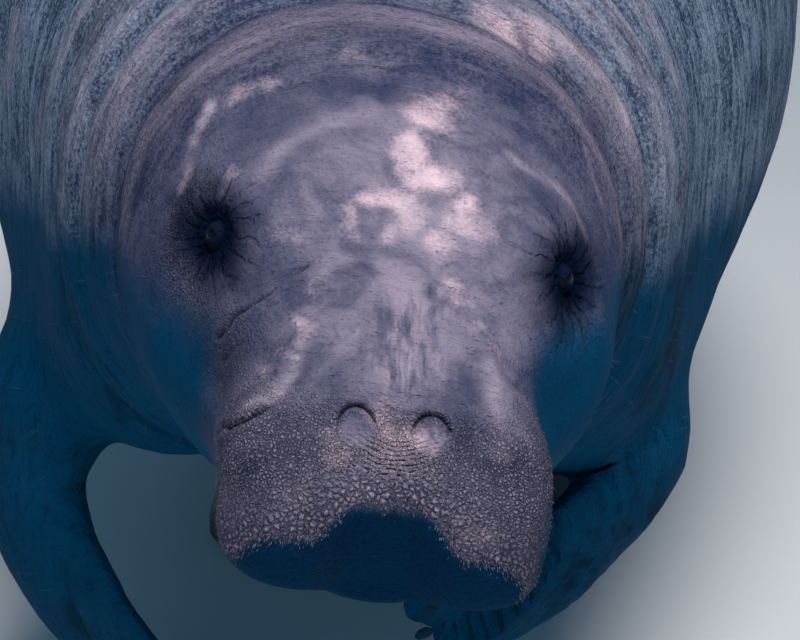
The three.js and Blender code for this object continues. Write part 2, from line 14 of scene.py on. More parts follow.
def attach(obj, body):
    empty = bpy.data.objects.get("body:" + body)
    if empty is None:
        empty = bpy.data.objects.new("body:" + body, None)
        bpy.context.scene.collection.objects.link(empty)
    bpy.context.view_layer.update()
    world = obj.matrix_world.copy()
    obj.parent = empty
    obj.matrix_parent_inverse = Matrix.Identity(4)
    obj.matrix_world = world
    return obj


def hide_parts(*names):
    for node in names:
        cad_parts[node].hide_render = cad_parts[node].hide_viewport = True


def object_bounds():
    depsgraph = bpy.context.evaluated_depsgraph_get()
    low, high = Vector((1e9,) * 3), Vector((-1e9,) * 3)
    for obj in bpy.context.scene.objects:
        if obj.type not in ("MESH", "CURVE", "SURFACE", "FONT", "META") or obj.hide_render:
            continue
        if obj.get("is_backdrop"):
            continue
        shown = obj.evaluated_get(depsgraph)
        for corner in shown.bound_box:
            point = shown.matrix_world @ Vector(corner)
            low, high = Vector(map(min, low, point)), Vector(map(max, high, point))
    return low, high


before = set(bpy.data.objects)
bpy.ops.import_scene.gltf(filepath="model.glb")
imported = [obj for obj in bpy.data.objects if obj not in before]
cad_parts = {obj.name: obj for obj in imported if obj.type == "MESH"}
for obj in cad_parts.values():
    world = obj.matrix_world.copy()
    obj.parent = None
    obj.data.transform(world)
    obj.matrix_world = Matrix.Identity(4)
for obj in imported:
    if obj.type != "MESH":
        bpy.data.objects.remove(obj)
cad_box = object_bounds()

# ---------------------------------------------------------------------------------------------------------
# The skin. One unbroken hide from lips to tail paddle and out over both flippers: thick, finely wrinkled
# leather, folded at the neck, stretched smooth over the skull. Its form is one field, below 0 inside the
# flesh, and every point of the hide is cast onto it.
MM = 0.001  # metres
BODY_LENGTH = 2950
AXIS_HEIGHT = 545
TWIST_END = 520
HEAD_ROLL = math.radians(-4.5)
HEAD_TURN = 0.13
TURN_START = 380
SHOULDER_SWAY = {"back": 720, "reach": 280, "shift": -24}
TAIL_DROOP = 60
FACE_CENTRE = np.array([0.0, 112.0, -48.0])
HEAD_END = 300
PADDLE_ROUND = 330
# distance back, half width, top line, bottom line, squareness above, squareness below
STATIONS = np.array(
    [
        [45, 80, 4, -98, 2.7, 2.7],
        [100, 93, 46, -114, 2.6, 2.4],
        [145, 122, 80, -134, 2.45, 2.1],
        [190, 148, 110, -152, 2.3, 1.85],
        [240, 158, 138, -170, 2.25, 1.75],
        [320, 182, 180, -190, 2.2, 1.85],
        [420, 224, 218, -216, 2.2, 2.5],
        [550, 258, 256, -262, 2.25, 4.6],
        [700, 314, 288, -292, 2.3, 2.7],
        [900, 351, 314, -322, 2.3, 2.25],
        [1150, 364, 328, -342, 2.3, 2.4],
        [1400, 355, 320, -330, 2.25, 2.3],
        [1650, 308, 282, -286, 2.2, 2.2],
        [1850, 242, 224, -222, 2.1, 2.1],
        [2020, 184, 164, -158, 2.05, 2.05],
        [2160, 158, 114, -108, 2.0, 2.0],
        [2280, 190, 80, -72, 2.0, 2.0],
        [2420, 254, 54, -47, 1.9, 1.9],
        [2560, 302, 38, -32, 1.85, 1.85],
        [2700, 318, 29, -25, 1.85, 1.85],
        [2950, 322, 22, -19, 1.85, 1.85],
    ]
)
# the shallow hollow under the chest, between the flippers
CHEST_HOLLOW = {"half": 70, "edge": 60, "back": 515, "reach": 120, "up": -262, "tall": 80, "depth": 20}
MUZZLE = {"centre": (0, 72, -70), "radii": (97, 72, 58), "square": 4.4, "roundness": 2.4}
CHIN = {"centre": (0, 121, -121), "radii": (62, 72, 34), "square": 2, "roundness": 2}
MUZZLE_BLEND, CHIN_BLEND = 26, 10
DISC = {"back": 4, "up": -57, "slope": math.radians(35), "hollow": 21, "inner": 12, "outer": 48, "rim": 8}
# place, size and depth of soft bulges (below 0) and hollows, alike on both sides
BULGES = [
    ((96, 158, 80), 30, -8),
    ((122, 172, 40), 26, 8),
    ((114, 122, -26), 36, 6),
    ((60, 34, -100), 32, -6),
    ((0, 10, -48), 24, 4),
    ((23, 26, -10), 18, -3),
    ((0, 66, 16), 26, 3),
    ((40, 190, 108), 44, -4),
    ((148, 235, -30), 50, -5),
]
NECK_FOLDS = [(318, 0.08, 17, 8), (384, -0.03, 12, 8), (444, 0.05, 13, 4)]  # back, lean, width, depth
LIP_FOLD = {"start": (101, 90, -62), "end": (62, 76, -10), "width": 8, "depth": 5}


def ease(t):
    return t * t * (3 - 2 * t)


def fade(low, high, value):
    return ease(np.clip((value - low) / (high - low), 0, 1))


def smooth_min(a, b, k):
    h = np.maximum(k - np.abs(a - b), 0) / k
    return np.minimum(a, b) - h * h * k / 4


def smooth_max(a, b, k):
    return -smooth_min(-a, -b, k)


def station_slopes():
    """Slopes of a curve through the stations that never overshoots them."""
    gaps = np.diff(STATIONS[:, 0])[:, None]
    rises = np.diff(STATIONS[:, 1:], axis=0) / gaps
    before, after = rises[:-1], rises[1:]
    w1, w2 = 2 * gaps[1:] + gaps[:-1], gaps[1:] + 2 * gaps[:-1]
    turning = before * after <= 0
    safe_before, safe_after = np.where(turning, 1, before), np.where(turning, 1, after)
    middle = np.where(turning, 0, (w1 + w2) / (w1 / safe_before + w2 / safe_after))
    return np.vstack([rises[:1], middle, rises[-1:]])


SLOPES = station_slopes()


def section_at(back):
    s = np.clip(back, STATIONS[0, 0], BODY_LENGTH)
    i = np.clip(np.searchsorted(STATIONS[:, 0], s) - 1, 0, len(STATIONS) - 2)
    h = STATIONS[i + 1, 0] - STATIONS[i, 0]
    t = ((s - STATIONS[i, 0]) / h)[:, None]
    value = (1 + 2 * t) * (1 - t) ** 2 * STATIONS[i, 1:] + ease(t) * STATIONS[i + 1, 1:]
    value = value + h[:, None] * (t * (1 - t) ** 2 * SLOPES[i] + t * t * (t - 1) * SLOPES[i + 1])
    past = np.clip((back - (BODY_LENGTH - PADDLE_ROUND)) / PADDLE_ROUND, 0, 1)
    taper = np.sqrt(np.maximum(1 - past * past, 1e-4))
    wide, top, bottom, square, low = value.T
    return (top + bottom) / 2, wide * taper, (top - bottom) / 2 * taper**0.6, square, low


def trunk_field(x, back, up):
    middle, wide, tall, above, below = section_at(back)
    square = np.where(up > middle, above, below)
    across = np.abs(x / wide) ** np.maximum(square, 2)
    along = np.abs((up - middle) / tall) ** square
    radius = (across + along) ** (1 / square) - 1
    beside = np.maximum(np.abs(x) - CHEST_HOLLOW["half"], 0) / CHEST_HOLLOW["edge"]
    lengthwise = (back - CHEST_HOLLOW["back"]) / CHEST_HOLLOW["reach"]
    beneath = (up - CHEST_HOLLOW["up"]) / CHEST_HOLLOW["tall"]
    hollow = CHEST_HOLLOW["depth"] * np.exp(-(beside**2) - lengthwise**2 - beneath**2)
    return smooth_max(radius * np.minimum(wide, tall), STATIONS[0, 0] - back, 12) + hollow


def pad_field(x, back, up, centre, radii, square, roundness):
    profile = np.abs((back - centre[1]) / radii[1]) ** roundness
    profile = profile + np.abs((up - centre[2]) / radii[2]) ** roundness
    total = profile ** (square / roundness) + np.abs((x - centre[0]) / radii[0]) ** square
    return (total ** (1 / square) - 1) * min(radii)


def disc_field(x, back, up):
    lobe = DISC["hollow"] * fade(DISC["inner"], DISC["outer"], np.abs(x))
    ahead = (DISC["back"] - back) * math.cos(DISC["slope"]) + (DISC["up"] - up) * math.sin(DISC["slope"])
    return ahead - lobe


def mirrored(p):
    return np.stack([np.abs(p[:, 0]), p[:, 1], p[:, 2]], 1)


def line_distance(p, points):
    """Distance to a bent line, and the share of the line's length where it is nearest."""
    points = np.array(points, float)
    lengths = np.linalg.norm(np.diff(points, axis=0), axis=1)
    starts = np.concatenate([[0], np.cumsum(lengths)])
    best, share = np.full(len(p), 1e9), np.zeros(len(p))
    for i, (a, b) in enumerate(zip(points[:-1], points[1:])):
        t = np.clip((p - a) @ (b - a) / ((b - a) @ (b - a)), 0, 1)
        d = np.linalg.norm(p - a - t[:, None] * (b - a), axis=1)
        nearer = d < best
        best = np.where(nearer, d, best)
        share = np.where(nearer, (starts[i] + t * lengths[i]) / starts[-1], share)
    return best, share


def body_field(p):
    x, back, up = p.T
    field = trunk_field(x, back, up)
    near = back < TWIST_END
    if near.any():
        q = p[near]
        x, back, up = q.T
        muzzle = smooth_max(pad_field(x, back, up, **MUZZLE), disc_field(x, back, up), DISC["rim"])
        face = smooth_min(field[near], muzzle, MUZZLE_BLEND)
        face = smooth_min(face, pad_field(x, back, up, **CHIN), CHIN_BLEND)
        folded = mirrored(q)
        for place, size, depth in BULGES:
            d = np.linalg.norm(folded - place, axis=1) / size
            face = face + depth * np.exp(-d * d)
        d = line_distance(folded, [LIP_FOLD["start"], LIP_FOLD["end"]])[0] / LIP_FOLD["width"]
        face = face + LIP_FOLD["depth"] * np.exp(-d * d)
        for place, lean, width, depth in NECK_FOLDS:
            d = (back - place - lean * up) / width
            face = face + depth * np.exp(-d * d) * (back > HEAD_END - 60)
        field[near] = face
    return field


def posed(p):
    """Bends the straight animal into its pose and sets it in the part's frame."""
    x, back, up = p.T
    turn = HEAD_ROLL * ease(np.clip((TWIST_END - back) / (TWIST_END - 150), 0, 1))
    ahead = np.maximum(TURN_START - back, 0)
    sway = (back - SHOULDER_SWAY["back"]) / SHOULDER_SWAY["reach"]
    shift = HEAD_TURN * ahead * ahead / (ahead + 60) + SHOULDER_SWAY["shift"] * np.exp(-sway * sway)
    droop = TAIL_DROOP * ease(np.clip((back - 1700) / (BODY_LENGTH - 1700), 0, 1))
    side = x * np.cos(turn) - up * np.sin(turn) + shift
    return np.stack(
        [side, back - BODY_LENGTH / 2, x * np.sin(turn) + up * np.cos(turn) - droop + AXIS_HEIGHT], 1
    )


def unit(v):
    return v / np.linalg.norm(v, axis=-1, keepdims=True)


def cast(starts, directions, reach=700):
    """The points where rays from inside the flesh come out of it."""
    near, far = np.zeros(len(directions)), np.full(len(directions), float(reach))
    for _ in range(30):
        middle = (near + far) / 2
        inside = body_field(starts + directions * middle[:, None]) < 0
        near, far = np.where(inside, middle, near), np.where(inside, far, middle)
    return starts + directions * ((near + far) / 2)[:, None]


def gradient(field, p, h=0.6):
    steps = np.eye(3) * h
    return np.stack([field(p + s) - field(p - s) for s in steps], 1) / (2 * h)


def settle(field, p, rounds=5, limit=6.0):
    """Moves points along the field's slope until they lie on the surface."""
    for _ in range(rounds):
        g = gradient(field, p)
        step = -field(p)[:, None] * g / np.maximum((g * g).sum(1), 1e-6)[:, None]
        length = np.linalg.norm(step, axis=1, keepdims=True)
        p = p + step * np.minimum(1, limit / np.maximum(length, 1e-9))
    return p


# The hide is woven as rings of points: a fan over the face from the middle of the upper lip, then rings
# round the head, neck, trunk, tail stock and paddle.
COLUMNS = 144
ANGLES = 2 * math.pi * np.arange(COLUMNS) / COLUMNS
POLE_TILT = math.radians(22)
FACE_RINGS = 42
HEAD_RINGS = 46
PADDLE_START, PADDLE_RINGS = 2180, 46


def hide_rings():
    rings = []
    for lean in np.arange(1, FACE_RINGS + 1) / FACE_RINGS * math.pi / 2:
        side, ahead = math.sin(lean), math.cos(lean)
        across = side * np.cos(ANGLES)
        back = np.full(COLUMNS, -ahead * math.cos(POLE_TILT))
        rise = side * 0.9 * np.sin(ANGLES) - ahead * math.sin(POLE_TILT)
        directions = unit(np.stack([across, back, rise], 1))
        rings.append(cast(np.repeat(FACE_CENTRE[None], COLUMNS, 0), directions))
    stops = [HEAD_END, 450, 1000, 1650, PADDLE_START]
    backs = list(np.linspace(FACE_CENTRE[1], HEAD_END, HEAD_RINGS + 1)[1:])
    for start, end, count in zip(stops[:-1], stops[1:], [30, 42, 28, 30]):
        backs += list(np.linspace(start, end, count + 1)[1:])
    t = np.arange(1, PADDLE_RINGS + 1) / (PADDLE_RINGS + 1)
    backs += list(PADDLE_START + (BODY_LENGTH - PADDLE_START) * (np.sin(t * math.pi / 2) * 0.45 + t * 0.55))
    for back in backs:
        middle, wide, tall, _, _ = (float(v[0]) for v in section_at(np.array([back])))
        slide = ease(min((back - FACE_CENTRE[1]) / (HEAD_END - FACE_CENTRE[1]), 1))
        ratio = 0.9 + (tall / wide - 0.9) * slide
        if back > HEAD_END:
            ratio = tall / wide
        centre = np.array([0, back, FACE_CENTRE[2] + (middle - FACE_CENTRE[2]) * slide])
        directions = unit(np.stack([np.cos(ANGLES), 0 * ANGLES, ratio * np.sin(ANGLES)], 1))
        rings.append(cast(np.repeat(centre[None], COLUMNS, 0), directions))
    return np.array(rings)


# Flippers: short arms that leave the chest low behind the neck, elbows bent, ending in flat round blades.
FLIPPERS = {
    "right": {
        "line": [
            (-196, 626, -150),
            (-242, 616, -216),
            (-267, 600, -298),
            (-250, 578, -354),
            (-213, 553, -402),
            (-160, 524, -446),
            (-96, 492, -488),
        ],
        "root": (0.25, -1, 0),
        "blade": (0.7, -0.72, 0),
    },
    "left": {
        "line": [
            (172, 632, -146),
            (207, 616, -202),
            (225, 588, -249),
            (202, 543, -278),
            (170, 498, -296),
            (118, 453, -314),
            (46, 406, -330),
        ],
        "root": (0.1, -1, 0),
        "blade": (0.05, -0.42, 0.9),
    },
}
CHORDS = [(0, 100), (0.2, 84), (0.38, 69), (0.55, 70), (0.75, 70), (0.9, 60), (1, 50)]
DEPTHS = [(0, 78), (0.2, 56), (0.38, 38), (0.55, 26), (0.75, 18), (0.9, 12), (1, 8)]
TIP_ROUND = 0.17
ARMPIT = 18  # how softly a flipper grows out of the chest
SEAM, AROUND_SEAM = 16, 40  # how far from the seam points are smoothed and settled again


def smooth_line(points, count):
    """A smooth curve through points, with evenly spaced samples and their directions."""
    points = np.array(points, float)
    padded = np.vstack([2 * points[0] - points[1], points, 2 * points[-1] - points[-2]])
    dense = []
    for p0, p1, p2, p3 in zip(padded[:-3], padded[1:-2], padded[2:-1], padded[3:]):
        d0, d1, d2 = (np.linalg.norm(b - a) ** 0.5 for a, b in ((p0, p1), (p1, p2), (p2, p3)))
        m1 = ((p1 - p0) / d0 - (p2 - p0) / (d0 + d1) + (p2 - p1) / d1) * d1
        m2 = ((p2 - p1) / d1 - (p3 - p1) / (d1 + d2) + (p3 - p2) / d2) * d1
        t = np.linspace(0, 1, 60, endpoint=False)[:, None]
        dense.append(
            (2 * t**3 - 3 * t**2 + 1) * p1 + (t**3 - 2 * t**2 + t) * m1 + ease(t) * p2 + (t**3 - t**2) * m2
        )
    dense = np.vstack(dense + [points[-1:]])
    run = np.concatenate([[0], np.cumsum(np.linalg.norm(np.diff(dense, axis=0), axis=1))])
    even = np.linspace(0, run[-1], count)
    samples = np.stack([np.interp(even, run, dense[:, i]) for i in range(3)], 1)
    return samples, unit(np.gradient(samples, axis=0))


def between(table, t):
    table = np.array(table, float)
    i = np.clip(np.searchsorted(table[:, 0], t, side="right") - 1, 0, len(table) - 2)
    u = ease(np.clip((t - table[i, 0]) / (table[i + 1, 0] - table[i, 0]), 0, 1))
    return table[i, 1] + (table[i + 1, 1] - table[i, 1]) * u


class Flipper:
    SAMPLES = 241

    def __init__(self, line, root, blade):
        self.points, self.along = smooth_line(line, self.SAMPLES)
        t = np.linspace(0, 1, self.SAMPLES)
        turn = ease(np.clip(t * 1.6, 0, 1))[:, None]
        chord = np.array(root, float) * (1 - turn) + np.array(blade, float) * turn
        chord = chord - self.along * (chord * self.along).sum(1, keepdims=True)
        self.chord = unit(chord)
        self.thick = unit(np.cross(self.along, self.chord))

    def at(self, t):
        s = np.clip(t, 0, 1) * (self.SAMPLES - 1)
        low = np.minimum(s.astype(int), self.SAMPLES - 2)
        mix = (s - low)[..., None]
        pick = lambda rows: rows[low] * (1 - mix) + rows[low + 1] * mix
        return pick(self.points), unit(pick(self.along)), unit(pick(self.chord)), unit(pick(self.thick))

    def half_sizes(self, t):
        past = np.clip((t - (1 - TIP_ROUND)) / TIP_ROUND, 0, 1)
        taper = np.sqrt(np.maximum(1 - past * past, 1e-4))
        return between(CHORDS, t) * taper, between(DEPTHS, t) * taper**0.5

    def skin(self, t, angle):
        at, _, chord, thick = self.at(t)
        half, deep = self.half_sizes(t)
        flat = np.sign(np.sin(angle)) * np.abs(np.sin(angle)) ** 1.15
        return at + chord * (half * np.cos(angle))[:, None] + thick * (deep * flat)[:, None]

    def nearest(self, p):
        d = ((p[:, None, :] - self.points[None, ::4]) ** 2).sum(2)
        t = d.argmin(1) * 4 / (self.SAMPLES - 1)
        for _ in range(3):
            at, along, _, _ = self.at(t)
            length = np.linalg.norm(np.diff(self.points, axis=0), axis=1).sum()
            t = np.clip(t + ((p - at) * along).sum(1) / length, 0, 1)
        return t

    def section(self, p, t):
        at, _, chord, thick = self.at(t)
        half, deep = self.half_sizes(t)
        return ((p - at) * chord).sum(1) / half, ((p - at) * thick).sum(1) / deep

    def field(self, p):
        t = self.nearest(p)
        across, through = self.section(p, t)
        half, deep = self.half_sizes(t)
        radius = np.sqrt(across**2 + np.abs(through) ** (2 / 1.15)) - 1
        return radius * np.minimum(half, deep)


def ring_mesh(rings, first, last, unwrap):
    """A closed mesh from rings of points, each end drawn to one point. unwrap(column, row) gives the flat map."""
    count, rows = rings.shape[1], len(rings)
    bm = bmesh.new()
    verts = [bm.verts.new(p) for p in [first, *rings.reshape(-1, 3), last]]
    layer = bm.loops.layers.uv.new("HideUnwrap")

    def face(corners):
        made = bm.faces.new([verts[i] for i, _, _ in corners])
        for loop, (_, column, row) in zip(made.loops, corners):
            loop[layer].uv = unwrap(column / count, (row + 1) / (rows + 1))

    for c in range(count):
        at = lambda row, column: (1 + row * count + column % count, column, row)
        face([(0, c + 0.5, -1), at(0, c + 1), at(0, c)])
        face([(len(verts) - 1, c + 0.5, rows), at(rows - 1, c), at(rows - 1, c + 1)])
        for r in range(rows - 1):
            face([at(r, c), at(r, c + 1), at(r + 1, c + 1), at(r + 1, c)])
    bmesh.ops.recalc_face_normals(bm, faces=bm.faces)
    mesh = bpy.data.meshes.new("woven")
    bm.to_mesh(mesh)
    bm.free()
    piece = bpy.data.objects.new("woven", mesh)
    bpy.context.scene.collection.objects.link(piece)
    return piece


arms = {side: Flipper(**FLIPPERS[side]) for side in FLIPPERS}
ARM_COLUMNS, ARM_RINGS = 48, 52


def trunk_mesh():
    rings = hide_rings()
    nose = cast(FACE_CENTRE[None], np.array([[0, -math.cos(POLE_TILT), -math.sin(POLE_TILT)]]))[0]
    tail = (0, BODY_LENGTH - 0.5, float(section_at(np.array([BODY_LENGTH]))[0][0]))
    return ring_mesh(rings, nose, tail, lambda u, v: (u, 0.01 + 0.74 * v))


def arm_mesh(flipper, number):
    u = np.arange(ARM_RINGS) / ARM_RINGS
    ts = np.where(u < 0.6, u, 0.6 + 0.4 * np.sin((u - 0.6) / 0.4 * math.pi / 2))
    angles = 2 * math.pi * np.arange(ARM_COLUMNS) / ARM_COLUMNS
    rings = np.array([flipper.skin(np.full(ARM_COLUMNS, t), angles) for t in ts])
    first, last = flipper.at(np.array([0.0]))[0][0], flipper.at(np.array([1.0]))[0][0]
    return ring_mesh(rings, first, last, lambda u, v: (0.5 * number + 0.48 * u, 0.77 + 0.22 * v))


def hide_mesh():
    """Trunk and flippers joined into one closed hide, in straight millimetres."""
    trunk = trunk_mesh()
    for number, flipper in enumerate(arms.values()):
        arm = arm_mesh(flipper, number)
        join = trunk.modifiers.new("join", "BOOLEAN")
        join.operation, join.solver, join.object = "UNION", "MANIFOLD", arm
        whole = bpy.data.meshes.new_from_object(trunk.evaluated_get(bpy.context.evaluated_depsgraph_get()))
        trunk.modifiers.remove(join)
        trunk.data = whole
        bpy.data.objects.remove(arm)
    bm = bmesh.new()
    bm.from_mesh(trunk.data)
    bpy.data.objects.remove(trunk)
    bmesh.ops.dissolve_degenerate(bm, edges=bm.edges, dist=0.4)
    for flipper in arms.values():
        points = np.array([v.co for v in bm.verts])
        joint = (np.abs(body_field(points)) < SEAM) & (np.abs(flipper.field(points)) < SEAM)
        verts = [v for v, pick in zip(bm.verts, joint) if pick]
        for _ in range(4):
            bmesh.ops.smooth_vert(bm, verts=verts, factor=0.5, use_axis_x=True, use_axis_y=True, use_axis_z=True)
        near = (np.abs(flipper.field(points)) < AROUND_SEAM) & (np.abs(body_field(points)) < AROUND_SEAM)
        points = np.array([v.co for v in bm.verts])
        points[near] = settle(lambda p: smooth_min(body_field(p), flipper.field(p), ARMPIT), points[near], 3, 4)
        for v, co in zip(bm.verts, points):
            v.co = co
    return bm


def skin_spot(start, direction):
    """A place on the skin: the point, the way out, and two directions along the skin."""
    at = cast(np.array([start], float), unit(np.array([direction], float)))
    out = unit(gradient(body_field, at, 2))[0]
    side = unit(np.array([out[1], -out[0], 0])) * -np.sign(out[1] or 1)
    rise = np.cross(out, side)
    return at[0], out, side, rise * (-1 if rise[2] < 0 else 1)


def spot_coordinates(p, spot):
    at, out, side, rise = spot
    d = p - at
    return d @ side, d @ rise, d @ out


NOSTRILS = [skin_spot((s * 22, 92, -60), (0, -0.82, 0.57)) for s in (-1, 1)]
EYES = [skin_spot((0, 196, 26), (s, -0.235, 0.2)) for s in (-1, 1)]
NOSTRIL_RADIUS = 12.3
EYEBALL = 10
EYE_SINK = 6.5
EYE_OPENING = (5.6, 3.6)
MOUTH = {"corner": (140, -104), "front": (50, -131)}
# the rim between the muzzle's front and the dark oral disc under it, for the animal's left half
DISC_RIM = [
    (0, 10, -57), (13, 9.5, -59), (24, 5, -64), (36, 0.5, -73),
    (48, 0, -81), (63, 2, -88), (77, 8, -92), (90, 20, -99),
]
# creases, deep on the animal's right side and faint on its left: points, width, depth, and the share of their
# length over which they keep that depth
CREASES = [
    (
        [(100, 103, -59), (98, 70, -44), (96, 44, -30), (88, 39, -22), (80, 39, -16), (74, 42, -11), (63, 51, -1)],
        2.3, 5.0, 0.6,
    ),
    (
        [(105, 129, -5), (101, 124, 2), (96, 120, 12), (88, 115, 23), (76, 113, 35), (53, 120, 55), (42, 126, 63)],
        1.6, 2.0, 0.8,
    ),
    ([(101, 123, -18), (95, 113, -3), (86, 102, 6)], 1.6, 1.6, 0.5),
]


def mouth_distance(p):
    slope = (MOUTH["front"][1] - MOUTH["corner"][1]) / (MOUTH["front"][0] - MOUTH["corner"][0])
    return (p[:, 2] - MOUTH["corner"][1] - slope * (p[:, 1] - MOUTH["corner"][0])) / math.hypot(1, slope)


def finer(bm, wanted):
    """Halves the mesh's squares where the hide needs finer folds."""
    centres = np.array([f.calc_center_median() for f in bm.faces])
    chosen = wanted(centres)
    edges = {e for f, pick in zip(bm.faces, chosen) if pick for e in f.edges}
    bmesh.ops.subdivide_edges(bm, edges=list(edges), cuts=1, use_grid_fill=True)


def near_spots(p, spots, reach):
    return np.min([np.linalg.norm(p - s[0], axis=1) for s in spots], axis=0) < reach


def on_rim(p, reach):
    return line_distance(mirrored(p), DISC_RIM)[0] < reach


def on_mouth(p, reach):
    return (np.abs(mouth_distance(p)) < reach) & (p[:, 1] < MOUTH["corner"][0] + 6)


def on_crease(p, reach):
    return (np.min([line_distance(mirrored(p), c[0])[0] for c in CREASES[:2]], axis=0) < reach) & (p[:, 0] < 0)


FINE_END = 208  # the face, up to just behind the eyes, has a finer mesh
FACE_END = 240  # no crease or valley of the face lies behind this
SETTLE_END = 445  # in front of this the finer mesh is cast onto the skin once more
hide = hide_mesh()
finer(hide, lambda p: p[:, 1] < FINE_END)
finer(
    hide,
    lambda p: near_spots(p, NOSTRILS, 21) | near_spots(p, EYES, 26) | on_rim(p, 7) | on_mouth(p, 5) | on_crease(p, 6),
)
finer(hide, lambda p: near_spots(p, EYES, 16) | near_spots(p, NOSTRILS, 15.5) & ~near_spots(p, NOSTRILS, 9.5))
bmesh.ops.triangulate(hide, faces=[f for f in hide.faces if len(f.verts) > 4])
hide.verts.index_update()
straight = np.array([v.co for v in hide.verts])
head = straight[:, 1] < SETTLE_END
straight[head] = settle(body_field, straight[head], 4)
corners = [[v.index for v in f.verts] for f in hide.faces]


# Folds and wrinkles, as heights in millimetres along the way out of the skin
def noise(p, size, seed=0):
    """Smooth random lumps of about the given size, from about -1 to 1."""
    q = p / np.asarray(size, float) + seed * 7.31
    cell = np.floor(q).astype(np.int64)
    f = q - cell
    w = f * f * f * (f * (f * 6 - 15) + 10)
    total = np.zeros(len(p))
    for corner in itertools.product((0, 1), repeat=3):
        at = cell + np.array(corner)
        h = (at[:, 0] * 73856093) ^ (at[:, 1] * 19349663) ^ (at[:, 2] * 83492791) ^ (seed * 2654435)
        h = (h ^ (h >> 13)) * 1274126177 & 0xFFFFFFFF
        h = (h ^ (h >> 16)) & 0xFFFFFFFF
        tilt = np.stack([(h >> s & 255) / 127.5 - 1 for s in (0, 8, 16)], 1)
        share = np.prod(np.where(corner, w, 1 - w), axis=1)
        total += share * ((f - corner) * tilt).sum(1)
    return total * 1.6


def normals_of(points):
    total = np.zeros_like(points)
    quads = np.array([c for c in corners if len(c) == 4])
    tris = np.array([c for c in corners if len(c) == 3])
    for group, (a, b, c, d) in ((quads, (0, 2, 1, 3)), (tris, (0, 1, 0, 2))):
        face = np.cross(points[group[:, b]] - points[group[:, a]], points[group[:, d]] - points[group[:, c]])
        for k in range(group.shape[1]):
            np.add.at(total, group[:, k], face)
    return unit(total)


def hump(distance, width):
    return np.exp(-((distance / width) ** 2))


# soft valleys and ridges beside the nose: points, width, height
VALLEYS = [
    ([(80, 41, -15), (68, 48, -5), (59, 58, 5), (50, 70, 17), (44, 82, 29)], 6.5, -2.6),
    ([(78, 66, 0), (62, 72, 14), (57, 88, 27), (50, 100, 40)], 7.0, 1.8),
    ([(90, 84, 2), (84, 98, 20), (78, 112, 36)], 5.0, -1.2),
    ([(52, 40, -6), (42, 18, -27), (33, 6, -46)], 8.0, -1.8),
]


def wandering(p):
    """The animal's right half folded onto its left, with a little unevenness."""
    return mirrored(p) + np.stack([noise(p, 14, s) for s in (1, 2, 3)], 1) * 1.6


def face_valleys(p):
    height = np.zeros(len(p))
    for points, width, lift in VALLEYS:
        d, share = line_distance(wandering(p), points)
        height += lift * hump(d, width) * fade(0, 0.15, share) * fade(1, 0.8, share)
    return height


def face_folds(p):
    height = np.zeros(len(p))
    for points, width, depth, steady in CREASES:
        d, share = line_distance(wandering(p), points)
        fall = np.clip((1 - share) / (1 - steady), 0, 1)
        side = np.where(p[:, 0] < 0, 1, 0.25)
        height -= depth * fall * side * hump(d, width)
        height += depth * 0.3 * fall * side * hump(d - width * 2.4, width * 1.6)
    return height


def nostril_folds(p):
    height = np.zeros(len(p))
    for spot in NOSTRILS:
        a, b, c = spot_coordinates(p, spot)
        near = np.abs(c) < 24
        b = (b - 1.5) / 1.28
        r = np.hypot(a, b)
        turn = np.abs(np.arctan2(a, b))
        inside = fade(NOSTRIL_RADIUS + 0.6, NOSTRIL_RADIUS - 1.2, r)
        top = fade(-4, NOSTRIL_RADIUS, b)
        flap = inside * (1.0 - 0.9 * (r / NOSTRIL_RADIUS) ** 2 - 1.5 * top * (r / NOSTRIL_RADIUS) ** 3)
        slit = -3.6 * fade(1.75, 0.55, turn) * hump(r - NOSTRIL_RADIUS, 0.85)
        rim = 0.9 * fade(2.4, 1.2, turn) * hump(r - NOSTRIL_RADIUS - 2.6, 2.2)
        height += near * (flap + slit + rim)
    return height


def sag_lines(p):
    """Wrinkles that sag like chains between and below the nostrils: their running count, and where they are."""
    d = p - (NOSTRILS[0][0] + NOSTRILS[1][0]) / 2
    b = d @ unit(NOSTRILS[0][3] + NOSTRILS[1][3])
    sag = b - 0.011 * d[:, 0] ** 2 + 2.2 * noise(p, 14, 5) + 0.6 * noise(p, 6, 6)
    near = hump(d[:, 0], 24) * fade(-30, -20, b) * fade(2, -4, b) * (np.linalg.norm(d, axis=1) < 48)
    return sag / 3.1, near


def eye_folds(p):
    height = np.zeros(len(p))
    for n, spot in enumerate(EYES):
        a, b, c = spot_coordinates(p, spot)
        near = np.abs(c) < 30
        flat = np.hypot(a, b)
        opening = np.hypot(a / EYE_OPENING[0], b / EYE_OPENING[1])
        ball = -EYE_SINK + np.sqrt(np.maximum(EYEBALL**2 - flat**2, 4))
        height += near * (ball + 1.1) * fade(14, 8, flat) * fade(0.9, 1.08, opening)
        height -= near * fade(1.04, 0.84, opening) * 10
        # the eye lies in a shallow bowl, with fine wrinkles that run out from it like spokes
        height -= near * 1.8 * hump(flat - 15, 8)
        wobble = noise(p, 6, 11 + n) + 0.6 * noise(p, 14, 13 + n)
        spokes = np.abs((np.arctan2(b, a) * 11 / (2 * math.pi) + 0.8 * wobble) % 1 - 0.5) * 2
        height -= near * 1.3 * (1 - fade(0, 0.5, spokes)) * fade(10, 15, flat) * fade(40, 20, flat)
        # a crease over the upper lid, and one that runs from the inner corner up to the brow
        arch = np.hypot(a * 0.85, b + 1) - 15.5 + 1.6 * wobble
        height -= near * 1.1 * hump(arch, 1.3) * fade(0, 9, b)
        inner = b - 0.75 * np.abs(a) + 3 + 0.8 * wobble
        toward = a * (1 if spot[0][0] < 0 else -1)
        height -= near * 1.4 * hump(inner, 1.2) * fade(10, 15, toward) * fade(34, 24, toward)
    return height


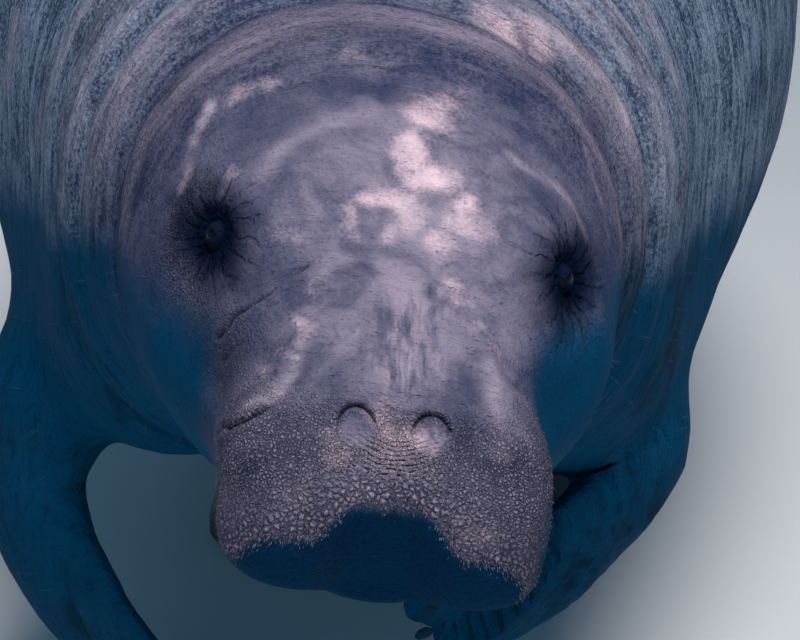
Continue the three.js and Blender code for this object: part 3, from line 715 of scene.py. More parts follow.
def mouth_folds(p):
    d = mouth_distance(p)
    front = fade(MOUTH["corner"][0] + 4, MOUTH["corner"][0] - 14, p[:, 1]) * (p[:, 2] < -84)
    groove = -4.6 * hump(d, 1.7)
    lip = 1.6 * hump(d - 5, 4) - 1.2 * hump(d + 5, 4)
    return front * (groove + lip)


def rim_folds(p):
    d, share = line_distance(mirrored(p), DISC_RIM)
    return 1.2 * hump(d, 3.5) * (1 + 0.8 * noise(p, 7, 21)) * fade(1, 0.85, share)


def trunk_folds(p, arm):
    """Rings of loose skin at the neck and shoulders, faint ones along the trunk, and closer ones on the tail stock."""
    x, back, up = p.T
    warp = 16 * noise(p, 110, 31) + 5 * noise(p, 40, 32)
    rings = np.sin((back + warp) * 2 * math.pi / 27)
    sharp = 1 - np.abs(rings) ** 0.7
    neck = fade(262, 318, back) * fade(640, 430, back)
    height = -1.9 * neck * sharp * (0.55 + 0.45 * noise(p, 90, 33))
    fine = 1 - np.abs(np.sin((back + 0.6 * warp + 6 * noise(p, (30, 12, 30), 34)) * 2 * math.pi / 13)) ** 0.8
    height -= 0.75 * fade(240, 300, back) * fade(900, 400, back) * fine
    body = fade(560, 800, back) * fade(2300, 1900, back)
    wide = 1 - np.abs(np.sin((back + 2.2 * warp) * 2 * math.pi / 74)) ** 0.5
    height -= 1.3 * body * wide * (0.5 + 0.5 * noise(p, 160, 35))
    stock = fade(1750, 2000, back) * fade(2330, 2180, back)
    height -= 1.6 * stock * (1 - np.abs(np.sin((back + warp) * 2 * math.pi / 33)) ** 0.6)
    paddle = fade(2230, 2420, back)
    spread = x / (0.55 * np.maximum(back - 1700, 1))
    rays = 1 - np.abs(np.sin((spread + 0.05 * noise(p, 120, 36)) * 46)) ** 0.7
    height -= 0.7 * paddle * rays
    height += 1.5 * noise(p, 85, 37) * fade(150, 420, back) + 0.55 * noise(p, 27, 38)
    elbow = np.where(arm > 0, fade(0.3, 0.42, arm) * fade(0.85, 0.6, arm), 0)
    cross = 1 - np.abs(np.sin((arm * 60 + 1.2 * noise(p, 40, 39)) * math.pi)) ** 0.6
    height -= 1.1 * elbow * cross
    return height


def arm_share(p):
    """How far along a flipper a point lies, and 0 on the trunk."""
    share = np.zeros(len(p))
    near = (p[:, 1] > 330) & (p[:, 1] < 760) & (p[:, 2] < 0)
    for flipper in arms.values():
        q = p[near]
        out = (flipper.field(q) < 6) & (body_field(q) > 2)
        share[np.flatnonzero(near)[out]] = flipper.nearest(q[out])
    return share


arm = arm_share(straight)
out = normals_of(straight)
on_face = straight[:, 1] < FACE_END
creases = face_folds(straight) * on_face + eye_folds(straight) + mouth_folds(straight)
creases += nostril_folds(straight) + trunk_folds(straight, arm)
folds = creases + face_valleys(straight) * on_face + rim_folds(straight) * (straight[:, 1] < 60)
shaped = straight + out * folds[:, None]
place = posed(shaped) * MM

skin_mesh = bpy.data.meshes.new("skin")
for v, co in zip(hide.verts, place):
    v.co = co
hide.to_mesh(skin_mesh)
hide.free()
skin_mesh.polygons.foreach_set("use_smooth", [True] * len(skin_mesh.polygons))
skin = bpy.data.objects.new("skin", skin_mesh)
bpy.context.scene.collection.objects.link(skin)


def keep(mesh, name, values):
    """Stores a number, or a vector, for each point of the hide."""
    kind = "FLOAT" if values.ndim == 1 else "FLOAT_VECTOR"
    layer = mesh.attributes.new(name, kind, "POINT")
    layer.data.foreach_set("value" if kind == "FLOAT" else "vector", values.astype(np.float32).ravel())


# Where the hide is pale, dark, pebbled or furrowed, and where light and shade are painted on it
x, back, up = straight.T
rise, ahead = out[:, 2], -out[:, 1]
PALE_AND_LIT_SPOTS = [  # place, size and strength of the pale, faintly pink blotches on forehead and snout: partly paler skin, partly painted highlights of dappled sunlight
    ((22, 222, 129), 16, 0.75),
    ((11, 192, 113), 15, 0.95),
    ((17, 175, 103), 15, 0.9),
    ((1, 155, 87), 15, 0.75),
    ((42, 155, 86), 17, 0.9),
    ((-11, 153, 86), 13, 0.75),
    ((-30, 145, 80), 12, 0.55),
    ((29, 140, 76), 14, 0.6),
    ((-5, 135, 73), 11, 0.45),
    ((36, 111, 52), 12, 0.55),
    ((-49, 152, 82), 14, 0.3),
    ((-66, 134, 63), 13, 0.4),
    ((-48, 104, 42), 14, 0.35),
    ((-58, 86, 26), 11, 0.5),
    ((-62, 73, 14), 10, 0.5),
    ((-77, 68, 0), 9, 0.4),
    ((45, 94, 37), 12, 0.35),
    ((62, 84, 22), 11, 0.35),
    ((-101, 254, 118), 12, 0.5),
    ((-79, 256, 131), 13, 0.5),
    ((-108, 188, 84), 13, 0.4),
    ((80, 332, 164), 22, 0.8),
    ((108, 345, 152), 20, 0.7),
    ((38, 236, 134), 18, 0.5),
    ((-27, 268, 152), 14, 0.4),
    ((-53, 3, -53), 20, 0.32),
    ((-32, 19, -25), 16, 0.42),
    ((21, 23, -20), 16, 0.42),
    ((47, 1, -58), 19, 0.36),
    ((0, 31, -14), 17, 0.7),
]
# dark blotches on the head and muzzle, painted shade between patches of dappled light and in the hollows
SHADE_SPOTS = [
    ((-26, 113, 54), 9, 0.75),
    ((20, 109, 52), 7, 0.8),
    ((-4, 84, 32), 14, 0.4),
    ((-30, 238, 136), 17, 0.8),
    ((-6, 238, 137), 15, 0.8),
    ((-32, 301, 169), 24, 0.8),
    ((4, 297, 168), 22, 0.8),
    ((24, 273, 155), 13, 0.7),
    ((80, 268, 138), 20, 0.75),
    ((99, 295, 143), 18, 0.6),
    ((-90, 307, 152), 20, 0.45),
    ((96, 196, 92), 16, 0.5),
    ((-92, 232, 108), 18, 0.4),
    ((-83, 17, -44), 17, 0.8),
    ((69, 24, -26), 13, 0.7),
    ((-75, 222, 108), 24, 0.6),
    ((-62, 196, 97), 18, 0.55),
    ((-112, 300, 138), 22, 0.4),
    ((78, 205, 101), 18, 0.35),
]
HIGHLIGHT_STREAKS = [  # points, width and strength of the painted highlights along brows, ridges and neck folds
    ([(-139, 364, 149), (-172, 356, 92), (-195, 368, 57), (-203, 373, 15), (-205, 375, -15)], 7, 1.0),
    ([(-154, 353, 115), (-174, 353, 78), (-188, 356, 26)], 4, 0.8),
    ([(-113, 269, 118), (-124, 247, 93), (-130, 223, 71), (-134, 207, 55)], 3.5, 0.9),
    ([(96, 350, 164), (125, 354, 150), (153, 359, 129), (171, 361, 104), (187, 360, 60)], 9, 1.0),
    ([(147, 415, 164), (178, 429, 140), (197, 416, 97), (212, 418, 53), (232, 449, -12)], 7, 0.95),
    ([(67, 211, 114), (89, 210, 103), (114, 216, 86), (126, 210, 70), (131, 205, 59)], 3.6, 0.8),
    ([(126, 316, 124), (133, 280, 104), (142, 265, 80), (151, 263, 61)], 3, 0.45),
    ([(-92, 168, 83), (-72, 194, 104), (-47, 204, 118), (-9, 218, 128)], 6, 0.4),
    ([(55, 81, 23), (59, 69, 12), (62, 51, 0), (64, 37, -13), (63, 22, -26)], 6, 0.5),
    ([(-50, 86, 28), (-57, 72, 15), (-63, 60, 4), (-73, 50, -6), (-82, 47, -13), (-92, 49, -21)], 4.5, 0.55),
    ([(-228, 492, 96), (-240, 499, 55), (-247, 513, 20), (-258, 551, -19)], 8, 0.4),
    ([(-272, 614, 88), (-283, 620, 37), (-287, 625, 11)], 12, 0.5),
]
# dark streaks, painted shade in the valleys beside the neck folds and beside the nose
SHADE_STREAKS = [
    ([(-148, 288, 89), (-159, 273, 50), (-164, 263, 17)], 11, 0.7),
    ([(-123, 271, 109), (-133, 253, 85), (-139, 237, 65)], 5, 0.7),
    ([(147, 347, 117), (156, 326, 100), (164, 320, 75), (171, 319, 54)], 9, 0.7),
    ([(157, 383, 145), (165, 376, 130), (178, 374, 110)], 6, 0.6),
    ([(-63, 51, -1), (-57, 61, 7), (-50, 76, 20)], 5, 0.7),
    ([(36, 74, 23), (40, 65, 16), (45, 55, 8), (48, 47, 0)], 8, 0.8),
]
stir = np.stack([noise(straight, 20, s) for s in (41, 42, 43)], 1) * 11
stir += np.stack([noise(straight, 8, s) for s in (46, 47, 48)], 1) * 3
spots = {"pale": np.zeros(len(straight)), "dark": np.zeros(len(straight)), "crest": np.zeros(len(straight))}
for name, table in (("pale", PALE_AND_LIT_SPOTS), ("dark", SHADE_SPOTS)):
    for spot, size, strength in table:
        patch = strength * hump(np.linalg.norm(straight + stir - spot, axis=1), size)
        spots[name] = np.maximum(spots[name], patch)
for name, table in (("crest", HIGHLIGHT_STREAKS), ("dark", SHADE_STREAKS)):
    for points, width, strength in table:
        d, share = line_distance(straight + stir * 0.3, points)
        patch = strength * hump(d, width) * fade(0, 0.12, share) * fade(1, 0.88, share)
        spots[name] = np.maximum(spots[name], patch * (0.75 + 0.5 * noise(straight, 24, 51)))
# painted sunlight: the upward-facing top of the snout and forehead is made lighter
sunny = hump(x - 6, 80) * fade(20, 60, back) * fade(300, 170, back) * fade(0.15, 0.7, rise)
# painted highlights on the ridges beside the neck folds, where the skin faces upwards
crest = np.zeros(len(straight))
for fold_back, lean, width, _ in NECK_FOLDS:
    d = back - fold_back - lean * up - 9 * noise(straight, 60, 44)
    crest = np.maximum(crest, hump(d - width * 1.8, width * 0.9) * 0.35 + 0.3 * hump(d + width * 1.8, width * 0.8))
rim_near = line_distance(mirrored(straight), DISC_RIM)[0]
front_depth = -disc_field(x, back, up)
in_disc = fade(9, 4, front_depth) * fade(80, 50, back) * fade(-45, -60, up)
# painted shade: the cheeks below the eyes, the sides of head and neck, the low parts of the body, the flippers and all
# downward-facing skin are coloured dark blue as if in shade
past_cheek = np.abs(x) - np.where(x < 0, 106, 87)
beneath_eye = fade(20, -30, up - 28 * fade(-30, 30, x) + 10 * noise(straight, 26, 54))
outward = fade(-9, 12, past_cheek) * fade(0.3, 0.6, np.abs(out[:, 0])) * beneath_eye
side_shade = fade(0.34, -0.12, rise) * fade(0.85, 0.4, ahead) * beneath_eye
side_shade = side_shade * np.maximum(fade(-9, 12, past_cheek), fade(120, 160, back))
side_shade = np.maximum(side_shade, outward * fade(60, 90, back)) * fade(340, 280, back)
low = fade(34, -34, up + 12 + 0.14 * (back - 350) + 16 * noise(straight, 40, 53)) * fade(280, 340, back)
side_shade = np.maximum(np.maximum(side_shade, low), fade(0.02, 0.2, arm))
eye_near = np.min([np.linalg.norm((straight - s[0]) * (0.82, 0.36, 0.88), axis=1) for s in EYES], axis=0)
keep(skin_mesh, "straight", straight * MM)
# pale blotches: partly paler skin, partly painted highlights of dappled sunlight
keep(skin_mesh, "pale", spots["pale"])
# painted shade: the dark blotches and streaks
keep(skin_mesh, "dark", spots["dark"])
keep(skin_mesh, "body", fade(290, 430, back))
keep(skin_mesh, "rough", fade(205, 300, back))
keep(skin_mesh, "sunny", sunny)
keep(skin_mesh, "crest", np.maximum(crest * fade(-0.2, 0.4, rise), spots["crest"]))
# the oral disc, which is painted in shade
keep(skin_mesh, "disc", in_disc)
keep(skin_mesh, "under", np.maximum(side_shade, fade(-0.2, -0.7, rise)))
beside = [spot_coordinates(straight, spot) for spot in EYES]
nearer = np.linalg.norm(straight - EYES[0][0], axis=1) < np.linalg.norm(straight - EYES[1][0], axis=1)
across_eye, above_eye, _ = (np.where(nearer, one, other) for one, other in zip(*beside))
from_eye = np.min([np.linalg.norm(straight - spot[0], axis=1) for spot in EYES], axis=0)
keep(skin_mesh, "eye_plane", np.stack([across_eye, above_eye, from_eye], 1) * MM)
keep(skin_mesh, "eye_lines", fade(8, 14, from_eye) * fade(62, 24, from_eye))
sag_count, sag_near = sag_lines(straight)
keep(skin_mesh, "sag_count", sag_count)
keep(skin_mesh, "sag_near", sag_near)
# a dark patch round each eye: darker skin, with painted shade of the brow over it
keep(skin_mesh, "eye_patch", fade(38, 10, eye_near + 5 * noise(straight, 16, 45)))
from_nostril = np.min([np.linalg.norm(straight - s[0], axis=1) for s in NOSTRILS], axis=0)
crumpled = hump(from_eye - 36, 14) * fade(-108, -118, x) + hump(np.linalg.norm(straight - (-98, 118, -15), axis=1), 30)
pebble = fade(120, 60, back) * fade(10, -30, up) * (1 - 0.8 * in_disc) * fade(7, 13, from_nostril)
keep(skin_mesh, "pebble", np.maximum(pebble, 0.55 * crumpled.clip(0, 1)))
keep(skin_mesh, "lumps", hump(rim_near - 5, 26) * (1 - in_disc) * (back < 90))
keep(skin_mesh, "bridge", hump(x - 6, 20) * fade(44, 56, back) * fade(112, 84, back) * (up > -20))
# how deep the creases are, for the painted shade in them
keep(skin_mesh, "fold", np.clip(-creases / 3.0, -1, 1))
# how closely bristles stand along the rim of the oral disc, whiskers on the muzzle and hairs elsewhere
rim_band = hump(rim_near - 4, 6) * fade(3.5, 6, front_depth) * (0.3 + 0.7 * fade(16, 34, np.abs(x)))
keep(skin_mesh, "bristles", rim_band * (back < 45) * (np.abs(x) < 86))
muzzle_front = fade(100, 70, back) * fade(12, -20, up) * (rise > -0.75)
keep(skin_mesh, "whiskers", muzzle_front * (from_nostril > 17) * (front_depth > 3))
keep(skin_mesh, "hairs", fade(90, 260, back) * (from_eye > 26) * fade(BODY_LENGTH, 2500, back))
# the way hairs lean: outwards and down on the muzzle, backwards everywhere else
muzzle_lay = np.stack([np.sign(x) * 0.25, -0.15 + 0 * x, -1 + 0 * x], 1)
lay = np.where((back < 110)[:, None], muzzle_lay, (0, 0.85, -0.25))
lay = unit(lay - out * (lay * out).sum(1, keepdims=True) * 0.7)
keep(skin_mesh, "lay", unit(posed(straight + lay) - posed(straight)))


class Value:
    """A number or colour in a finish that may change over a surface. Sums on it are written as they are read."""

    def __init__(self, tree, socket=None):
        self.tree, self.socket = tree, socket

    def make(self, kind, settings=(), inputs=(), output=0):
        node = self.tree.nodes.new(kind)
        for name, setting in dict(settings).items():
            setattr(node, name, setting)
        for key, value in dict(inputs).items():
            if isinstance(value, Value):
                self.tree.links.new(value.socket, node.inputs[key])
            else:
                node.inputs[key].default_value = value
        return Value(self.tree, node.outputs[output])

    def math(self, operation, *values):
        return self.make("ShaderNodeMath", {"operation": operation}, enumerate(values))

    def __add__(self, other):
        return self.math("ADD", self, other)

    def __sub__(self, other):
        return self.math("SUBTRACT", self, other)

    def __rsub__(self, other):
        return self.math("SUBTRACT", other, self)

    def __mul__(self, other):
        return self.math("MULTIPLY", self, other)

    __radd__ = __add__
    __rmul__ = __mul__

    def held(self):
        return self.make("ShaderNodeClamp", (), {0: self})

    def span(self, low, high):
        """0 at or below low, 1 at or above high, with a soft rise between."""
        return self.make(
            "ShaderNodeMapRange",
            {"interpolation_type": "SMOOTHSTEP"},
            {"Value": self, "From Min": low, "From Max": high},
        )

    def field(self, name):
        return self.make("ShaderNodeAttribute", {"attribute_name": name}, (), 2)

    def vector(self, name):
        return self.make("ShaderNodeAttribute", {"attribute_name": name}, (), 1)

    def own(self):
        return self.make("ShaderNodeTexCoord", (), (), 3)

    def move(self, operation, *values):
        return self.make("ShaderNodeVectorMath", {"operation": operation}, enumerate(values))

    def clouds(self, scale, detail=3.0, rough=0.5, bend=0.0):
        settings = {"noise_dimensions": "3D"}
        inputs = {"Vector": self, "Scale": scale, "Detail": detail, "Roughness": rough, "Distortion": bend}
        return self.make("ShaderNodeTexNoise", settings, inputs)

    def cells(self, scale, feature="F1", spread=1.0):
        settings = {"feature": feature, "voronoi_dimensions": "3D"}
        return self.make("ShaderNodeTexVoronoi", settings, {"Vector": self, "Scale": scale, "Randomness": spread})


def painted(first, second, share, tree):
    """One colour passing into another. Either may be fixed, given as red, green and blue."""
    whole = lambda c: c if isinstance(c, Value) else (*c, 1)
    return Value(tree).make(
        "ShaderNodeMix", {"data_type": "RGBA"}, {0: share, 6: whole(first), 7: whole(second)}, 2
    )


def new_finish(name):
    material = bpy.data.materials.new(name)
    material.use_nodes = True
    tree = material.node_tree
    return material, Value(tree), tree.nodes["Principled BSDF"]


def apply_finish(start, shader, colour, roughness, bumps=(), **fixed):
    tree = start.tree
    tree.links.new(colour.socket, shader.inputs["Base Color"])
    if isinstance(roughness, Value):
        tree.links.new(roughness.socket, shader.inputs["Roughness"])
    else:
        shader.inputs["Roughness"].default_value = roughness
    normal = None
    for height, distance in bumps:
        inputs = {"Height": height, "Distance": distance, "Strength": 1.0}
        if normal:
            inputs["Normal"] = normal
        normal = start.make("ShaderNodeBump", (), inputs)
    if normal:
        tree.links.new(normal.socket, shader.inputs["Normal"])
    for socket, value in fixed.items():
        shader.inputs[socket.replace("_", " ")].default_value = value


def srgb(r, g, b):
    """A colour given the way a paint chart gives it, 0 to 255, as light."""
    return tuple(((v / 255 + 0.055) / 1.055) ** 2.4 if v > 10 else v / 3294.6 for v in (r, g, b))


HIDE_MID = srgb(96, 94, 117)
# dark tone of the hide, also painted shade in the dark blotches and streaks
HIDE_DARK_AND_SHADE = srgb(38, 49, 78)
# light tone of the hide, also painted highlights and painted sunlight
HIDE_LIGHT_AND_HIGHLIGHT = srgb(172, 156, 170)
# pale pinkish blotches: partly paler skin, partly painted dappled sunlight
HIDE_PALE_AND_LIT = srgb(220, 190, 200)
HIDE_BACK = srgb(134, 149, 170)
HIDE_BACK_DARK = srgb(40, 60, 90)
# painted blue shade for the sides, low parts, flippers and undersides
HIDE_UNDER_SHADE = srgb(0, 66, 98)
# painted shade for the oral disc
HIDE_DISC_SHADE = srgb(0, 46, 76)
# dark skin round the eyes with painted shade in their hollows, and painted shade in creases, wrinkles and pebble gaps
HIDE_EYE_AND_CREASE_SHADE = srgb(4, 16, 36)


def skin_finish():
    material, start, shader = new_finish("skin_leather")
    tree = start.tree
    place = start.vector("straight")
    broad = place.clouds(8, 4, 0.55, 0.4)
    mottle = place.clouds(30, 4, 0.6, 0.6)
    speck = place.clouds(420, 3, 0.65)
    stirred = place.make("ShaderNodeTexNoise", (), {"Vector": place, "Scale": 150.0, "Detail": 2.0}, 1)
    bent = place.move("MULTIPLY_ADD", stirred, (0.003, 0.003, 0.003), place)
    # relief: cracked pebbles on the muzzle, furrows round the body, fine dashes everywhere else
    small, large = bent.cells(460, "DISTANCE_TO_EDGE"), bent.cells(270, "DISTANCE_TO_EDGE")
    pebbly, lumpy = start.field("pebble"), start.field("lumps")
    pebbles = small.span(0.0, 0.34) * (1 - lumpy) + large.span(0.0, 0.4) * lumpy * 1.6
    dashes = place.move("MULTIPLY", bent, (170, 860, 170)).clouds(1, 2, 0.6, 0.2)
    crossing = place.move("MULTIPLY", bent, (520, 240, 520)).clouds(1, 2, 0.6, 0.2)
    coarse = place.move("MULTIPLY", bent, (40, 230, 40)).clouds(1, 3, 0.6, 0.4)
    furrows = place.move("MULTIPLY", bent, (13, 105, 13)).clouds(1, 4, 0.62, 0.5)
    flames = place.move("MULTIPLY", bent, (240, 46, 46)).clouds(1, 2, 0.5, 0.3)
    grain = bent.clouds(330, 2, 0.7)
    pits = bent.cells(210).span(0.05, 0.35)
    body = start.field("body")
    # wrinkles that run out from the eyes, and those that sag between the nostrils
    eye_plane = start.vector("eye_plane")
    side = place.make("ShaderNodeSeparateXYZ", (), {0: eye_plane}, 0)
    above = place.make("ShaderNodeSeparateXYZ", (), {0: eye_plane}, 1)
    turn = side.math("ARCTAN2", above, side) * (17 / (2 * math.pi)) + 1.5 * bent.clouds(70, 2, 0.6)
    spokes = side.math("ABSOLUTE", side.math("FRACT", turn) - 0.5).span(0.24, 0.0) * start.field("eye_lines")
    sag = start.field("sag_count") + 0.5 * bent.clouds(160, 2, 0.6)
    sagging = side.math("ABSOLUTE", side.math("FRACT", sag) - 0.5).span(0.2, 0.0) * start.field("sag_near")
    # colour: the hide's own tones, with painted light and shade laid over them
    tone = (broad * 0.4 + mottle * 0.3 + speck * 0.15 + grain * 0.15).span(0.36, 0.64)
    rough_tone = (furrows * 0.35 + grain * 0.4 + mottle * 0.25).span(0.4, 0.58)
    rough = start.field("rough")
    colour = painted(HIDE_DARK_AND_SHADE, HIDE_MID, tone * (1 - rough) + rough_tone * rough, tree)
    # painted light: the muzzle's front is made a little lighter, and the wrinkled skin between and below the nostrils
    # much lighter
    colour = painted(colour, HIDE_LIGHT_AND_HIGHLIGHT, (pebbly * 0.1 + start.field("sag_near") * 0.5).held(), tree)
    colour = painted(colour, painted(HIDE_BACK_DARK, HIDE_BACK, rough_tone, tree), body, tree)
    # painted sunlight on the top of the snout and forehead
    colour = painted(colour, HIDE_LIGHT_AND_HIGHLIGHT, start.field("sunny") * (0.25 + 0.75 * mottle.span(0.35, 0.7)) * 0.6, tree)
    # painted shade in the dark blotches and streaks
    colour = painted(colour, HIDE_DARK_AND_SHADE, (start.field("dark") * (0.6 + 0.8 * mottle)).held(), tree)
    # pale blotches, partly paler skin and partly painted dappled sunlight
    pale_and_lit_patches = (start.field("pale") * (0.5 + 1.1 * mottle) + (speck - 0.5) * 0.6).span(0.1, 1.05)
    colour = painted(colour, HIDE_PALE_AND_LIT, pale_and_lit_patches * start.field("pale").span(0.0, 0.35), tree)
    # painted highlights along the fold ridges, brows and streaks
    colour = painted(colour, HIDE_LIGHT_AND_HIGHLIGHT, (start.field("crest") * (furrows * 1.3 + coarse)).held(), tree)
    colour = painted(colour, HIDE_LIGHT_AND_HIGHLIGHT, start.field("bridge") * flames.span(0.48, 0.66) * 0.5, tree)
    colour = painted(colour, HIDE_DARK_AND_SHADE, start.field("bridge") * flames.span(0.5, 0.36) * 0.5, tree)
    # painted highlights on the tops of the muzzle's pebbles
    pebble_highlights = small.span(0.1, 0.3) * (1 - lumpy) + large.span(0.08, 0.3) * lumpy
    colour = painted(colour, HIDE_LIGHT_AND_HIGHLIGHT, (pebble_highlights * (pebbly * 0.32 + lumpy * 0.48) * (0.1 + 1.6 * mottle)).held(), tree)
    # painted blue shade on the sides, low parts, flippers and undersides
    colour = painted(colour, HIDE_UNDER_SHADE, (start.field("under") * (0.96 + 0.06 * tone)).held(), tree)
    # painted shade over the oral disc under the muzzle
    colour = painted(colour, HIDE_DISC_SHADE, start.field("disc") * 0.98, tree)
    # the dark skin round the eyes, and the painted shade in their hollows
    colour = painted(colour, HIDE_EYE_AND_CREASE_SHADE, start.field("eye_patch") * 0.95, tree)
    # painted shade in the gaps between pebbles, in the fine dashes, in the spokes round the eyes and in the sagging
    # wrinkles
    gaps = (small.span(0.13, 0.0) * (1 - lumpy) + large.span(0.14, 0.0) * lumpy) * pebbly
    strokes = (dashes.span(0.5, 0.3) * 0.6 + crossing.span(0.5, 0.3) * 0.4) * (1 - pebbly)
    groove_shade = (gaps * 0.5 + strokes * 0.08 + spokes * 0.12 + sagging * 0.7).held()
    colour = painted(colour, HIDE_EYE_AND_CREASE_SHADE, groove_shade, tree)
    # painted shade in the creases, darker as they are deeper
    colour = painted(colour, HIDE_EYE_AND_CREASE_SHADE, start.field("fold").span(0.05, 0.9) * 0.8, tree)
    bumps = [
        (mottle, 0.0020),
        (coarse, 0.0026),
        (furrows * rough, 0.0110),
        (pebbles * pebbly, 0.0025),
        (dashes * (1 - pebbly * 0.7), 0.0006),
        (crossing * (1 - pebbly * 0.7), 0.0006),
        (flames * start.field("bridge"), 0.0024),
        (1 - spokes, 0.0016),
        (1 - sagging, 0.0010),
        (grain, 0.0009),
        (pits, 0.0004),
        (speck, 0.0004),
    ]
    apply_finish(start, shader, colour, 0.55 + 0.25 * mottle, bumps, IOR=1.4, Specular_IOR_Level=0.02)
    return material


skin_mesh.materials.append(skin_finish())
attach(skin, "root")
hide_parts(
    "snout", "lower_jaw", "head", "neck", "chest", "belly", "tail_stock", "tail_paddle",
    "flipper_right", "flipper_left",
)

# ---------------------------------------------------------------------------------------------------------
# Bristles and hairs. Short grey bristles crowd along the rim of the oral disc, fine whiskers stand over the
# muzzle, and thin hairs about a centimetre long are scattered one by one over neck and body. Each is a tapered,
# slightly bent shaft rooted in the hide.
def shaft(name, sides, joints, bend):
    """One hair of length and width 1, standing on its root and bending over as it rises."""
    bm = bmesh.new()
    levels = []
    for j in range(joints):
        t = j / joints
        ring = []
        for i in range(sides):
            a = 2 * math.pi * i / sides
            width = 0.5 * (1 - t) ** 0.6
            ring.append(bm.verts.new((width * math.cos(a), width * math.sin(a), t - 0.04)))
        levels.append(ring)
    tip = bm.verts.new((0, 0, 0.96))
    for low, high in zip(levels[:-1], levels[1:]):
        for i in range(sides):
            bm.faces.new([low[i], low[(i + 1) % sides], high[(i + 1) % sides], high[i]])
    for i in range(sides):
        bm.faces.new([levels[-1][i], levels[-1][(i + 1) % sides], tip])
    bm.faces.new(levels[0][::-1])
    mesh = bpy.data.meshes.new(name)
    bm.to_mesh(mesh)
    bm.free()
    patch = mesh.attributes.new("patch", "FLOAT_VECTOR", "POINT")
    for v, value in zip(mesh.vertices, patch.data):
        value.vector = (0.003 * (v.co.x + 0.5), 0.003 * max(v.co.z, 0), 0)
    bent = mesh.attributes.new("bend", "FLOAT", "POINT")
    for v, value in zip(mesh.vertices, bent.data):
        value.value = bend * max(v.co.z, 0) ** 2
    mesh.polygons.foreach_set("use_smooth", [True] * len(mesh.polygons))
    piece = bpy.data.objects.new(name, mesh)
    bpy.context.scene.collection.objects.link(piece)
    return piece


